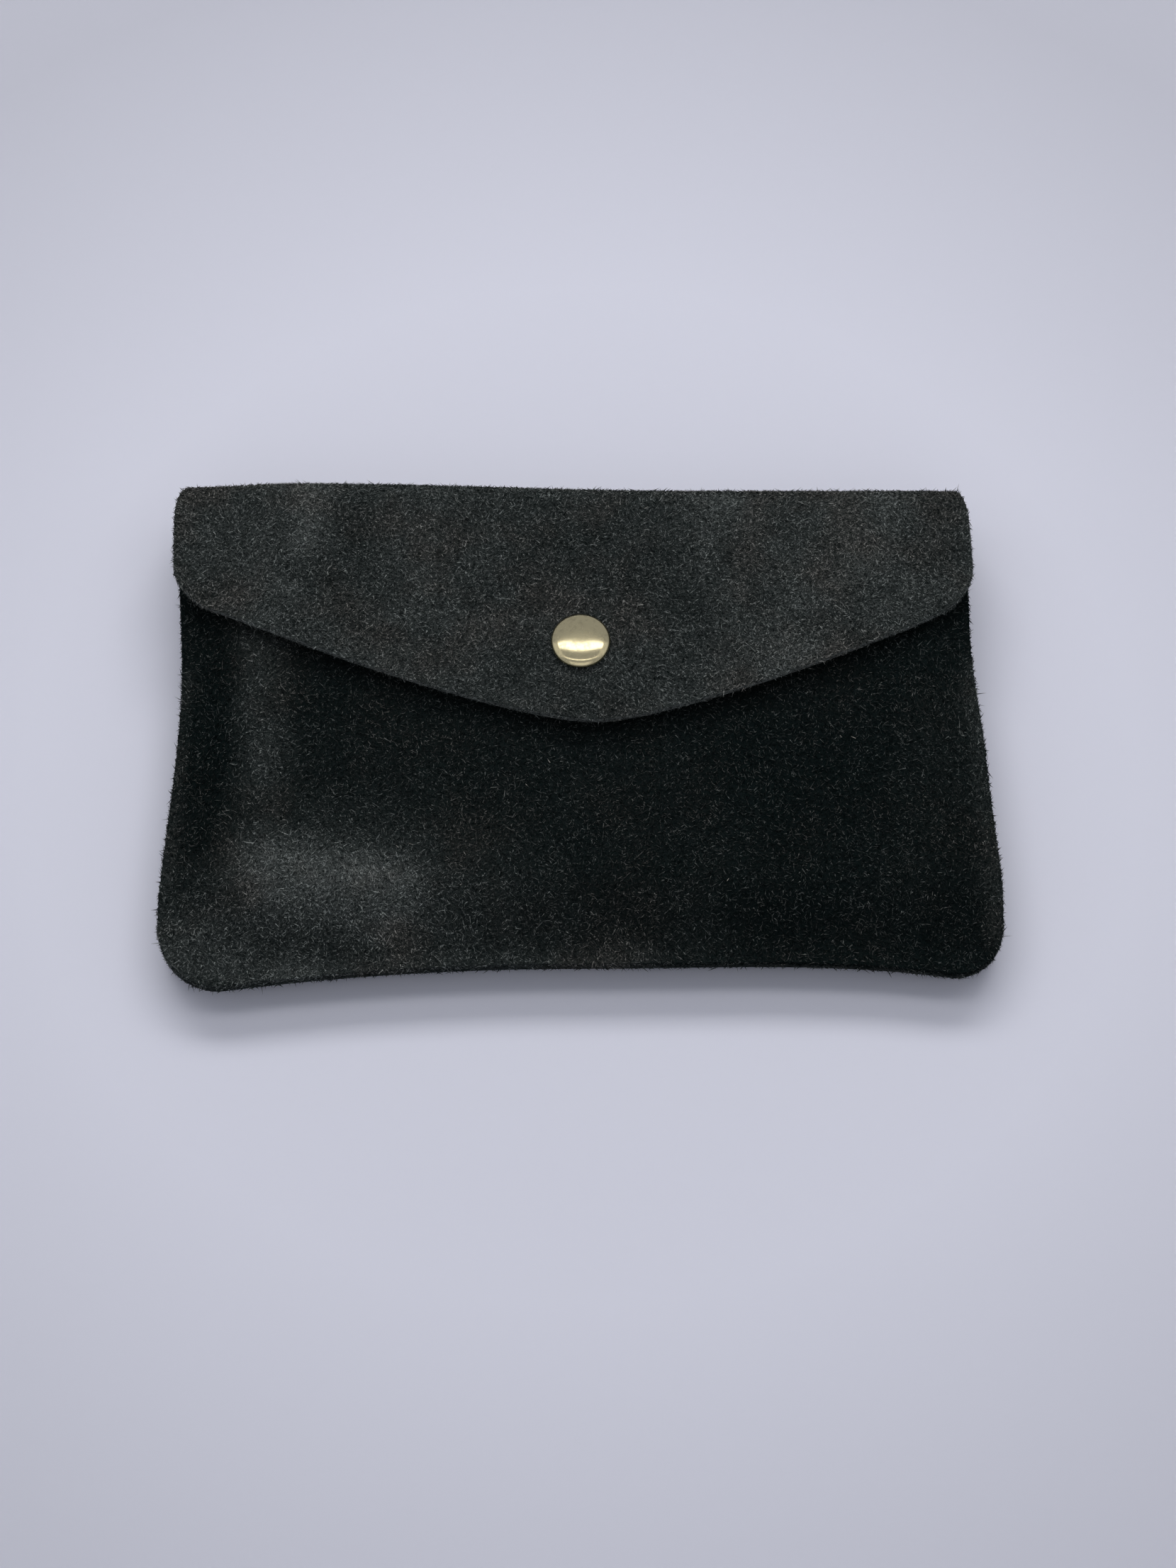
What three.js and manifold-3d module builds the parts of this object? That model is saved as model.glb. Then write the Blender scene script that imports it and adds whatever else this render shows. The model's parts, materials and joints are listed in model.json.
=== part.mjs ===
// A suede envelope purse for cards. It lies on its back: X runs across, +Y to the fold, +Z up through the
// layers. The origin is under the middle of its box. Sizes are in millimetres, angles in degrees.
import * as THREE from 'three';
import Module from 'manifold-3d';
import { mergeVertices } from 'three/addons/utils/BufferGeometryUtils.js';

const { degToRad, lerp, radToDeg, smoothstep } = THREE.MathUtils;

// ---- Driving dimensions ----
const TOUCH = 0.3; // gap between pieces that meet

const BODY_WIDTH = 146; // across the flared bottom corners
const BODY_LENGTH = 97; // from the fold to the bottom corners
const WAIST_INSET = 2.2; // each side stands in by this much half way up
const FOLD_INSET = 1.2; // and by this much at the fold
const FLARE_HEIGHT = 14; // the sides start to draw in this far above the bottom corners
const CORNER_RADIUS = 9;
const BOTTOM_RISE = 4.3; // the middle of the bottom edge stands this far back from the corners
const BOTTOM_RISE_REACH = 30; // the rise fades out over this length
const BOTTOM_ROLL = 8; // each panel curves in to the bottom seam over this length
const MOUTH_SETBACK = 1.4; // from the start of the fold to the front panel's top edge

const LEATHER = 1.2; // suede of the panels and the flap
const LINING = 0.8; // thinner leather of the gussets and the pocket wall
const SLIP = 0.4; // skived leather of the card slips
const COMPARTMENT = 4.4; // clear depth of the main compartment
const SNAP_SPACE = 2.2; // between the front panel and the flap, for the snap

const FOLD_RADIUS = 5.5; // of the leather's middle, at each of the two soft creases of the fold
const FLAP_DROP = 50; // from the fold to the flap's tip
const FLAP_SLOPE = 0.32; // rise of the flap's lower edges, per millimetre outwards
const FLAP_TIP_RADIUS = 6;
const SHOULDER_RADIUS = 10;
const SNAP_DROP = 35; // from the fold to the middle of the snap

const CAP_DIAMETER = 10;
const CAP_HEIGHT = 1.9;
const SHANK_RADIUS = 1.2; // tubes that rivet each half of the snap through its leather
const SOCKET_DIAMETER = 9.5;
const KNOB_DIAMETER = 4.4;
const KNOB_CLEARANCE = 0.5; // so the socket can lift off on the flap's arc
const STUD_BASE_DIAMETER = 8;
const RIVET_DIAMETER = 7;
const PRESSING = 0.4; // thickness of the snap's pressed metal

const GUSSET_DEPTH = 12; // how far each side folds inwards
const GUSSET_INSET = 0.8; // turned seam between the gusset and the panels' edge
const GUSSET_TAPER = 10; // the fold runs out over this length above the bottom roll

const WALL_CLEARANCE = 1; // between the pocket wall and the gussets' folds
const WALL_FOOT = 12.5; // from the bottom corners to the wall's lower edge
const ZIP_DROP = 14.5; // from the fold to the middle of the zip
const ZIP_WINDOW = 6; // between the wall and the facing
const ZIP_MARGIN = 5; // of wall beyond each end of the zip
const COIL = { width: 1.5, height: 2, gap: 1.2 };
const TAPE = { width: 5.6, thickness: 0.4 };
const STOP_LENGTH = 1.8;
const SLIDER = { length: 9, width: 7.6, foot: 0.6, head: 0.8, post: 0.6 };
const BAIL = { width: 2, reach: 2.1, wire: 0.6, height: 1.4 };
const PULL = { length: 12, width: 5, thickness: 0.8, bar: 1 };

const CARD_WIDTH = 85.6;
const CARD_HEIGHT = 54;
const CARD_SIDE_ROOM = 2.2; // on each side, up to the slip's stitching
const SLIP_COUNT = 3;
const SLIP_SHOW = 10; // of a card stands out of the first slip
const SLIP_SHOW_STEP = 3; // and this much more out of each next one
const CARD_TOP_ROOM = 1; // between the first card's top and the wall's upper edge
const THUMB_DIP = 1.6; // hollow of each slip's upper edge

// ---- Heights of the layers ----
const BACK_MIDDLE = LEATHER / 2;
const FOOT_LOW = LEATHER + TOUCH;
const TAPE_LOW = FOOT_LOW + SLIDER.foot + TOUCH;
const WALL_LOW = TAPE_LOW + TAPE.thickness + TOUCH;
const WALL_TOP = WALL_LOW + LINING;
const COIL_TOP = TAPE_LOW + COIL.height;
const HEAD_LOW = COIL_TOP + TOUCH;
const HEAD_TOP = HEAD_LOW + SLIDER.head;
const SLIP_RISE = SLIP + TOUCH;
const SLIPS_TOP = WALL_TOP + SLIP_COUNT * SLIP_RISE;
const FRONT_LOW = SLIPS_TOP + COMPARTMENT;
const FRONT_TOP = FRONT_LOW + LEATHER;
const FLAP_LOW = FRONT_TOP + SNAP_SPACE;
const FLAP_TOP = FLAP_LOW + LEATHER;
const FLAP_MIDDLE = FLAP_LOW + LEATHER / 2;
const SEAM = (LEATHER + FRONT_LOW) / 2; // the bottom seam and the gussets' folds lie half way

// ---- Places along the length ----
const TOP = BODY_LENGTH / 2;
const BOTTOM = -TOP;
const FOLD_START = TOP - LEATHER / 2 - FOLD_RADIUS;
const MOUTH = FOLD_START - MOUTH_SETBACK;
const ROLL_END = BOTTOM + LEATHER / 2 + BOTTOM_ROLL; // where each panel's bottom roll meets its flat
const TIP = TOP - FLAP_DROP;
const SNAP = TOP - SNAP_DROP;
const ZIP = TOP - ZIP_DROP;
const WALL_TOP_EDGE = ZIP - ZIP_WINDOW / 2;
const WALL_BOTTOM_EDGE = BOTTOM + WALL_FOOT;
const FIRST_POCKET_FLOOR = WALL_TOP_EDGE - CARD_TOP_ROOM - CARD_HEIGHT;
// The pockets' floors step down evenly, and the last one lies on the wall's foot.
const POCKET_STEP = (FIRST_POCKET_FLOOR - WALL_BOTTOM_EDGE) / (SLIP_COUNT - 1);
const WALL_HALF_WIDTH = halfWidth(0) - GUSSET_INSET - GUSSET_DEPTH - WALL_CLEARANCE;
const ZIP_HALF_LENGTH = WALL_HALF_WIDTH - ZIP_MARGIN;
const COIL_HALF_LENGTH = ZIP_HALF_LENGTH - STOP_LENGTH - TOUCH;
const SLIDER_PLACE = -COIL_HALF_LENGTH + SLIDER.length / 2;

// ---- Colours and finishes ----
const SUEDE = { color: 0x3a3d38, roughness: 0.95, metalness: 0 };
const FLESH_SIDE = { color: 0x33352f, roughness: 0.9, metalness: 0 };
const BRASS = { color: 0xcdb277, roughness: 0.25, metalness: 1 };
const STEEL = { color: 0xb9b4a6, roughness: 0.35, metalness: 1 };
const TAPE_CLOTH = { color: 0x1d1f1d, roughness: 0.85, metalness: 0 };
const NYLON = { color: 0x202220, roughness: 0.5, metalness: 0 };

const wasm = await Module();
wasm.setup();

const purse = new THREE.Group();

function add(name, geometry, finish) {
  const mesh = new THREE.Mesh(welded(geometry), new THREE.MeshStandardMaterial(finish));
  mesh.name = name;
  purse.add(mesh);
}

// ---- Solids ----
function welded(geometry) {
  geometry.deleteAttribute('normal');
  geometry.deleteAttribute('uv');
  const closed = mergeVertices(geometry, 1e-5);
  closed.computeVertexNormals();
  return closed;
}

function solid(geometry) {
  const closed = welded(geometry);
  const { Manifold, Mesh } = wasm;
  const vertProperties = closed.attributes.position.array;
  const triVerts = new Uint32Array(closed.index.array);
  return new Manifold(new Mesh({ numProp: 3, vertProperties, triVerts }));
}

function shape(manifold) {
  const mesh = manifold.getMesh();
  const geometry = new THREE.BufferGeometry();
  geometry.setAttribute('position', new THREE.BufferAttribute(mesh.vertProperties, 3));
  geometry.setIndex(new THREE.BufferAttribute(mesh.triVerts, 1));
  return geometry;
}

function joined(...geometries) {
  return shape(geometries.map(solid).reduce((whole, next) => whole.add(next)));
}

// A hole for a riveted tube, drilled at the snap.
function drilled(geometry, low, top) {
  const bit = new THREE.CylinderGeometry(SHANK_RADIUS + TOUCH, SHANK_RADIUS + TOUCH, top - low + 2, 32);
  bit.rotateX(Math.PI / 2).translate(0, SNAP, (low + top) / 2);
  return shape(solid(geometry).subtract(solid(bit)));
}

function block(x, y, z) {
  const size = [x, y, z].map(([from, to]) => to - from);
  const middle = [x, y, z].map(([from, to]) => (from + to) / 2);
  return new THREE.BoxGeometry(...size).translate(...middle);
}

// A turned piece on the snap's axis, from its outline as radius and height.
function turned(outline) {
  const points = outline.map(([radius, height]) => new THREE.Vector2(radius, height));
  return new THREE.LatheGeometry(points, 48).rotateX(Math.PI / 2).translate(0, SNAP, 0);
}

function extruded(outline, low, thickness) {
  const settings = { depth: thickness, bevelEnabled: false, curveSegments: 8 };
  return new THREE.ExtrudeGeometry(outline, settings).translate(0, 0, low);
}

// ---- Bent sheets ----
// A profile is a row of stations across the layers: y, z, and the angle at which the sheet travels there.
function bend(y, z, reachY, reachZ, from, to, steps) {
  const stations = [];
  const way = Math.sign(to - from);
  for (let i = 0; i <= steps; i++) {
    const turn = degToRad(lerp(from, to, i / steps));
    const along = [-way * reachY * Math.sin(turn), way * reachZ * Math.cos(turn)];
    stations.push({
      y: y + reachY * Math.cos(turn),
      z: z + reachZ * Math.sin(turn),
      angle: Math.atan2(along[1], along[0]),
    });
  }
  return stations;
}

function straight(from, to, z, steps) {
  return Array.from({ length: steps + 1 }, (_, i) => ({ y: lerp(from, to, i / steps), z, angle: 0 }));
}

// A sheet of leather on a profile. spot(u, station) gives x and a shift in y for u from -1 to 1.
function sheet(columns, profile, thickness, spot) {
  const rows = profile.length - 1;
  const geometry = new THREE.BoxGeometry(2, rows, 1, columns, rows, 1);
  const place = geometry.attributes.position;
  for (let i = 0; i < place.count; i++) {
    const station = profile[Math.round(place.getY(i) + rows / 2)];
    const side = place.getZ(i) * thickness;
    const [x, shift] = spot(place.getX(i), station);
    const y = station.y + shift - Math.sin(station.angle) * side;
    place.setXYZ(i, x, y, station.z + Math.cos(station.angle) * side);
  }
  return geometry;
}

// ---- Outline of the body ----
function sideHalfWidth(y) {
  const drawn = WAIST_INSET * smoothstep(y, BOTTOM + FLARE_HEIGHT, 0);
  return BODY_WIDTH / 2 - drawn + (WAIST_INSET - FOLD_INSET) * smoothstep(y, 0, TOP);
}

function halfWidth(y) {
  const down = Math.max(0, CORNER_RADIUS - (y - BOTTOM));
  return sideHalfWidth(y) - CORNER_RADIUS + Math.sqrt(Math.max(0, CORNER_RADIUS ** 2 - down ** 2));
}

function bodySpot(u, { y }) {
  const fade = Math.max(0, 1 - (y - BOTTOM) / BOTTOM_RISE_REACH);
  return [u * halfWidth(y), BOTTOM_RISE * (1 - u * u) * fade ** 2];
}

// ---- Outline of the flap's lower edge, for u from -1 to 1 ----
function flapEdge(u) {
  const side = FLAP_SIDE;
  const tilt = Math.atan(FLAP_SLOPE);
  const straightTo = side - SHOULDER_RADIUS * (1 - Math.sin(tilt));
  const slope = (x) => TIP + FLAP_SLOPE * (Math.hypot(x, FLAP_TIP_RADIUS) - FLAP_TIP_RADIUS);
  const turnAt = 0.8; // share of the columns that lie on the straight slope
  if (Math.abs(u) <= turnAt) {
    const x = (Math.abs(u) / turnAt) * straightTo;
    return [Math.sign(u) * x, slope(x)];
  }
  const turn = lerp(tilt, Math.PI / 2, (Math.abs(u) - turnAt) / (1 - turnAt));
  const middle = slope(straightTo) + SHOULDER_RADIUS * Math.cos(tilt);
  const x = side - SHOULDER_RADIUS * (1 - Math.sin(turn));
  return [Math.sign(u) * x, middle - SHOULDER_RADIUS * Math.cos(turn)];
}

const FOLD_HALF_WIDTH = halfWidth(TOP);
const FLAP_SIDE = FOLD_HALF_WIDTH - FOLD_INSET / 2; // the flap's sides stand in a little from the fold
const EDGE_GAP = radToDeg(TOUCH / 2 / FOLD_RADIUS); // half the gap at each crease
const CREASE = 45; // each crease's hinge lies half way round its quarter bend

// ---- The leather shell ----
function backPanel() {
  const roll = SEAM - TOUCH / 2 - BACK_MIDDLE;
  const centre = BACK_MIDDLE + FOLD_RADIUS;
  return [
    ...bend(ROLL_END, BACK_MIDDLE + roll, BOTTOM_ROLL, roll, 180, 270, 8),
    ...straight(ROLL_END, FOLD_START, BACK_MIDDLE, 8).slice(1),
    ...bend(FOLD_START, centre, FOLD_RADIUS, FOLD_RADIUS, -90, -CREASE - EDGE_GAP, 5).slice(1),
  ];
}

function frontPanel() {
  const middle = FRONT_LOW + LEATHER / 2;
  const roll = middle - SEAM - TOUCH / 2;
  return [
    ...bend(ROLL_END, middle - roll, BOTTOM_ROLL, roll, 180, 90, 8),
    ...straight(ROLL_END, MOUTH, middle, 8).slice(1),
  ];
}

function flapFold() {
  const low = BACK_MIDDLE + FOLD_RADIUS;
  const high = FLAP_MIDDLE - FOLD_RADIUS;
  return [
    ...bend(FOLD_START, low, FOLD_RADIUS, FOLD_RADIUS, -CREASE + EDGE_GAP, 0, 5),
    ...bend(FOLD_START, high, FOLD_RADIUS, FOLD_RADIUS, 0, CREASE - EDGE_GAP, 5),
  ];
}

function flap() {
  const high = FLAP_MIDDLE - FOLD_RADIUS;
  return [
    ...straight(TIP, FOLD_START, FLAP_MIDDLE, 8),
    ...bend(FOLD_START, high, FOLD_RADIUS, FOLD_RADIUS, 90, CREASE + EDGE_GAP, 5).slice(1),
  ];
}

function flapSpot(u, { y }) {
  const [edgeX, edgeY] = flapEdge(u);
  const up = Math.min(1, Math.max(0, (y - TIP) / (FOLD_START - TIP)));
  return [edgeX * lerp(1, FOLD_HALF_WIDTH / FLAP_SIDE, up), (edgeY - TIP) * (1 - up)];
}

function addShell() {
  add('back_panel', sheet(32, backPanel(), LEATHER, bodySpot), SUEDE);
  add('front_panel', drilled(sheet(32, frontPanel(), LEATHER, bodySpot), FRONT_LOW, FRONT_TOP), SUEDE);
  add('flap_fold', sheet(16, flapFold(), LEATHER, (u) => [u * FOLD_HALF_WIDTH, 0]), SUEDE);
  add('flap', drilled(sheet(36, flap(), LEATHER, flapSpot), FLAP_LOW, FLAP_TOP), SUEDE);
}

// ---- Gussets: each side folds inwards as a V, and its halves meet at the fold ----
function gussetHalf(side, panelFace, way) {
  const start = ROLL_END + TOUCH;
  const profile = straight(start, MOUTH, 0, 14);
  const steep = 1.3; // allows for the sheet's tilt
  const outerZ = panelFace + way * (TOUCH + (steep * LINING) / 2);
  const foldZ = SEAM - way * (TOUCH / 2 + (steep * LINING) / 2);
  const geometry = new THREE.BoxGeometry(2, profile.length - 1, 1, 1, profile.length - 1, 1);
  const place = geometry.attributes.position;
  for (let i = 0; i < place.count; i++) {
    const { y } = profile[Math.round(place.getY(i) + (profile.length - 1) / 2)];
    const depth = lerp(0.25, 1, smoothstep(y, start, start + GUSSET_TAPER)) * GUSSET_DEPTH;
    const outer = halfWidth(y) - GUSSET_INSET;
    const inward = (1 - side * place.getX(i)) / 2; // 0 at the panel's edge, 1 at the fold
    const across = [depth, -side * (foldZ - outerZ)];
    const lift = (place.getZ(i) * LINING) / Math.hypot(...across);
    const x = side * (outer - depth * inward) - across[1] * lift;
    place.setXYZ(i, x, y, lerp(outerZ, foldZ, inward) + across[0] * lift);
  }
  return geometry;
}

function addGussets() {
  for (const [label, side] of [['left', -1], ['right', 1]]) {
    add(`gusset_${label}_rear`, gussetHalf(side, LEATHER, 1), SUEDE);
    add(`gusset_${label}_front`, gussetHalf(side, FRONT_LOW, -1), SUEDE);
  }
}

// ---- Ring snap ----
function snapCap() {
  const base = FLAP_TOP + TOUCH;
  const radius = CAP_DIAMETER / 2;
  const dome = [];
  const squareness = 2 / 2.5; // a little flatter on top than an ellipse
  for (let i = 1; i <= 16; i++) {
    const turn = (i / 16) * (Math.PI / 2);
    const out = i === 16 ? 0 : radius * Math.cos(turn) ** squareness;
    dome.push([out, base + PRESSING + (CAP_HEIGHT - PRESSING) * Math.sin(turn) ** squareness]);
  }
  const shank = [[0, FLAP_LOW], [SHANK_RADIUS, FLAP_LOW], [SHANK_RADIUS, base]];
  const rim = [
    [radius - PRESSING, base],
    [radius - PRESSING / 4, base + PRESSING / 3],
    [radius, base + PRESSING],
  ];
  return turned([...shank, ...rim, ...dome]);
}

function snapSocket() {
  const top = FLAP_LOW - TOUCH;
  const low = FRONT_TOP + TOUCH + PRESSING + TOUCH;
  const hole = KNOB_DIAMETER / 2 + KNOB_CLEARANCE;
  const rim = SOCKET_DIAMETER / 2;
  const round = PRESSING / 2;
  return turned([[hole, low], [rim - round, low], [rim, low + round], [rim, top], [hole, top], [hole, low]]);
}

function snapStud() {
  const base = FRONT_TOP + TOUCH;
  const knob = KNOB_DIAMETER / 2;
  const top = FLAP_LOW - 2 * TOUCH;
  const neck = knob - KNOB_CLEARANCE / 2;
  const rim = STUD_BASE_DIAMETER / 2;
  const foot = base + PRESSING;
  return turned([
    [0, base], [rim, base], [rim, foot], [neck, foot], [knob, (foot + top) / 2], [neck, top], [0, top],
  ]);
}

function studRivet() {
  const top = FRONT_LOW - TOUCH;
  const rim = RIVET_DIAMETER / 2;
  const low = top - PRESSING;
  const shank = [[SHANK_RADIUS, top], [SHANK_RADIUS, FRONT_TOP], [0, FRONT_TOP]];
  return turned([[0, low], [rim, low], [rim, top], ...shank]);
}

function addSnap() {
  add('snap_cap', snapCap(), BRASS);
  add('snap_socket', snapSocket(), BRASS);
  add('snap_stud', snapStud(), BRASS);
  add('stud_rivet', studRivet(), BRASS);
}

// ---- Inner wall, zip and card slips ----
function roundedPlate(half, from, to, radius) {
  const outline = new THREE.Shape();
  outline.absarc(half - radius, from + radius, radius, -Math.PI / 2, 0);
  outline.absarc(half - radius, to - radius, radius, 0, Math.PI / 2);
  outline.absarc(radius - half, to - radius, radius, Math.PI / 2, Math.PI);
  outline.absarc(radius - half, from + radius, radius, Math.PI, 1.5 * Math.PI);
  return outline;
}

function addPocketWall() {
  const wall = roundedPlate(WALL_HALF_WIDTH, WALL_BOTTOM_EDGE, WALL_TOP_EDGE, 2);
  const facing = roundedPlate(WALL_HALF_WIDTH, ZIP + ZIP_WINDOW / 2, MOUTH, 1);
  add('pocket_wall', extruded(wall, WALL_LOW, LINING), FLESH_SIDE);
  add('zip_facing', extruded(facing, WALL_LOW, LINING), FLESH_SIDE);
}

// A span from near to far on one side of a centre, lowest value first.
function span(centre, side, near, far) {
  return side > 0 ? [centre + near, centre + far] : [centre - far, centre - near];
}

function addZip() {
  const coilEdge = COIL.gap / 2 + COIL.width;
  const tapeEdge = coilEdge + TOUCH;
  const coilLength = span(0, 1, -COIL_HALF_LENGTH, COIL_HALF_LENGTH);
  const tapeLength = span(0, 1, -ZIP_HALF_LENGTH, ZIP_HALF_LENGTH);
  const coilHeight = [TAPE_LOW, COIL_TOP];
  const tapeHeight = [TAPE_LOW, TAPE_LOW + TAPE.thickness];
  for (const [label, side] of [['lower', -1], ['upper', 1]]) {
    const tapeWidth = span(ZIP, side, tapeEdge, tapeEdge + TAPE.width);
    add(`zip_tape_${label}`, block(tapeLength, tapeWidth, tapeHeight), TAPE_CLOTH);
    add(`zip_coil_${label}`, block(coilLength, span(ZIP, side, COIL.gap / 2, coilEdge), coilHeight), NYLON);
  }
  for (const [label, side] of [['left', -1], ['right', 1]]) {
    const stopLength = span(0, side, COIL_HALF_LENGTH + TOUCH, ZIP_HALF_LENGTH);
    add(`zip_stop_${label}`, block(stopLength, [ZIP - coilEdge, ZIP + coilEdge], coilHeight), STEEL);
  }
}

function sliderPlate() {
  const { length, width } = SLIDER;
  const shoulder = length / 6; // the nose tapers from here to the closed end
  const round = 1;
  const outline = new THREE.Shape();
  outline.moveTo(-length / 2, -width / 3);
  outline.quadraticCurveTo(-length / 2, -width / 2, -shoulder, -width / 2);
  outline.lineTo(length / 2 - round, -width / 2);
  outline.quadraticCurveTo(length / 2, -width / 2, length / 2, -width / 2 + round);
  outline.lineTo(length / 2, width / 2 - round);
  outline.quadraticCurveTo(length / 2, width / 2, length / 2 - round, width / 2);
  outline.lineTo(-shoulder, width / 2);
  outline.quadraticCurveTo(-length / 2, width / 2, -length / 2, width / 3);
  outline.closePath();
  return outline;
}

function bailArch(sink) {
  const { reach, wire, height } = BAIL;
  const top = height + wire;
  const outline = new THREE.Shape();
  outline.moveTo(-reach, -sink);
  outline.lineTo(-reach, top - wire);
  outline.quadraticCurveTo(-reach, top, wire - reach, top);
  outline.lineTo(reach - wire, top);
  outline.quadraticCurveTo(reach, top, reach, top - wire);
  outline.lineTo(reach, -sink);
  outline.lineTo(reach - wire, -sink);
  outline.lineTo(reach - wire, height);
  outline.lineTo(wire - reach, height);
  outline.lineTo(wire - reach, -sink);
  outline.closePath();
  return outline;
}

// Two plates joined by the post that runs between the coils, with a bail on top for the pull.
function zipSlider() {
  const sink = 0.1; // overlap that makes the plates, post and bail one casting
  const { length, foot, head, post } = SLIDER;
  const postLength = span(0, 1, 1 - length / 2, length / 2 - 1);
  const core = block(postLength, [-post / 2, post / 2], [FOOT_LOW + sink, HEAD_TOP - sink]);
  const bail = extruded(bailArch(sink), -BAIL.width / 2, BAIL.width);
  bail.rotateX(Math.PI / 2).translate(0, 0, HEAD_TOP);
  const footPlate = extruded(sliderPlate(), FOOT_LOW, foot);
  const headPlate = extruded(sliderPlate(), HEAD_LOW, head);
  return joined(footPlate, headPlate, core, bail).translate(SLIDER_PLACE, ZIP, 0);
}

// The pull lies towards the end of the zip, with its bar under the slider's bail.
function zipPull() {
  const { length, width, thickness, bar } = PULL;
  const outline = new THREE.Shape();
  const round = width / 2 - 0.5;
  outline.moveTo(bar / 2, -width / 2 + 0.4);
  outline.lineTo(bar / 2, width / 2 - 0.4);
  outline.lineTo(-bar, width / 2 - 0.4);
  outline.lineTo(-length + round, width / 2);
  outline.quadraticCurveTo(-length, width / 2, -length, 0);
  outline.quadraticCurveTo(-length, -width / 2, -length + round, -width / 2);
  outline.lineTo(-bar, -width / 2 + 0.4);
  outline.closePath();
  const slot = new THREE.Path();
  const reach = BAIL.width / 2 + TOUCH;
  slot.moveTo(-bar / 2, -reach);
  slot.lineTo(-BAIL.reach - 2 * TOUCH, -reach);
  slot.lineTo(-BAIL.reach - 2 * TOUCH, reach);
  slot.lineTo(-bar / 2, reach);
  slot.closePath();
  outline.holes.push(slot);
  return extruded(outline, HEAD_TOP + TOUCH, thickness).translate(SLIDER_PLACE, ZIP, 0);
}

function cardSlip(index) {
  const floor = FIRST_POCKET_FLOOR - index * POCKET_STEP;
  const edge = floor + CARD_HEIGHT - SLIP_SHOW - index * SLIP_SHOW_STEP;
  const half = CARD_WIDTH / 2 + CARD_SIDE_ROOM;
  const round = 3;
  const outline = new THREE.Shape();
  outline.absarc(half - round, floor + round, round, -Math.PI / 2, 0);
  outline.lineTo(half, edge);
  outline.quadraticCurveTo(0, edge - 2 * THUMB_DIP, -half, edge);
  outline.absarc(round - half, floor + round, round, Math.PI, 1.5 * Math.PI);
  return extruded(outline, WALL_TOP + TOUCH + index * SLIP_RISE, SLIP);
}

addShell();
addGussets();
addSnap();
addPocketWall();
addZip();
add('zip_slider', zipSlider(), STEEL);
add('zip_pull', zipPull(), STEEL);
for (let index = 0; index < SLIP_COUNT; index++) {
  add(`card_slip_${index + 1}`, cardSlip(index), FLESH_SIDE);
}

export default purse;
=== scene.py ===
"""A suede envelope purse for cards, built round its fixed frame. X runs across, +Y to the fold, +Z up
through the layers. Lengths are in millimetres until a mesh is written in metres; angles are in degrees."""
import json
import math

import bmesh
import bpy
import numpy as np
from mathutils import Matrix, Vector, noise


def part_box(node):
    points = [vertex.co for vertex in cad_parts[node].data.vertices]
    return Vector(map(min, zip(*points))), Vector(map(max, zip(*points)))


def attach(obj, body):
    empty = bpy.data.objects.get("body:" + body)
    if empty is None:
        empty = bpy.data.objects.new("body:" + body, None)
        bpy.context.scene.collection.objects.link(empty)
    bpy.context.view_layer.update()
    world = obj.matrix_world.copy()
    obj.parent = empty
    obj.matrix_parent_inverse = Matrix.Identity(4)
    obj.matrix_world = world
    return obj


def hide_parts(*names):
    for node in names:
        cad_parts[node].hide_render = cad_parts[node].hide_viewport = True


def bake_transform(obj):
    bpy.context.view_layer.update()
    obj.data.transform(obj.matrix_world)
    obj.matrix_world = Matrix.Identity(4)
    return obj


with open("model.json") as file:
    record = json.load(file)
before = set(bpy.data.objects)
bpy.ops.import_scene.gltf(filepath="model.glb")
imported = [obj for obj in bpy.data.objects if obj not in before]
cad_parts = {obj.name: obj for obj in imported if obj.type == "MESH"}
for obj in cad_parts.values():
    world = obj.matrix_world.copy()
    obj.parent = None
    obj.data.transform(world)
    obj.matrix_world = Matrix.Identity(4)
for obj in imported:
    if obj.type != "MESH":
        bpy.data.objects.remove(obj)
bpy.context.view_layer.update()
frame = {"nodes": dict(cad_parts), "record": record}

bl_info = {
    "name": "Suede envelope purse",
    "version": (1, 0, 0),
    "blender": (4, 5, 0),
    "location": "View3D > Sidebar > Purse",
    "description": "Builds a suede card purse with a ring snap, stepped slips and a zip pocket",
    "category": "Add Mesh",
}

MM = 0.001


def box_mm(node):
    """Lowest and highest corner of a frame node, in millimetres."""
    low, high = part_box(node)
    return np.array(low) / MM, np.array(high) / MM


# ---- Places read from the frame ----
BACK_LOW, BACK_HIGH = box_mm("back_panel")
FRONT_LOW, FRONT_HIGH = box_mm("front_panel")
FLAP_LOW, FLAP_HIGH = box_mm("flap")
FOLD_HIGH = box_mm("flap_fold")[1]
CAP_LOW, CAP_HIGH = box_mm("snap_cap")
SOCKET_LOW, SOCKET_HIGH = box_mm("snap_socket")
STUD_LOW, STUD_HIGH = box_mm("snap_stud")
RIVET_LOW, RIVET_HIGH = box_mm("stud_rivet")
HALF = BACK_HIGH[0]
BOTTOM = BACK_LOW[1]
TOP = FOLD_HIGH[1]
TIP = FLAP_LOW[1]
MOUTH = FRONT_HIGH[1]
SEAM = FRONT_LOW[2] - 0.15
SNAP = (CAP_LOW[:2] + CAP_HIGH[:2]) / 2
LEATHER = 1.2
NAP_ROOM = 0.3  # left for the nap pressed under the back
BACK_LEATHER = LEATHER - 0.2
BACK_Z = NAP_ROOM + BACK_LEATHER / 2
FRONT_Z = FRONT_HIGH[2] - LEATHER / 2
FLAP_Z = FLAP_HIGH[2] - LEATHER / 2
FOLD_RADIUS = 5.5  # of the leather's middle at each crease
FOLD_START = TOP - LEATHER / 2 - FOLD_RADIUS
FOLD_BACK = TOP - LEATHER / 2  # y of the leather's middle at the back of the fold
SPINE_Z = (BACK_Z + FLAP_Z) / 2  # where the back's leather ends and the flap's begins

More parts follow.
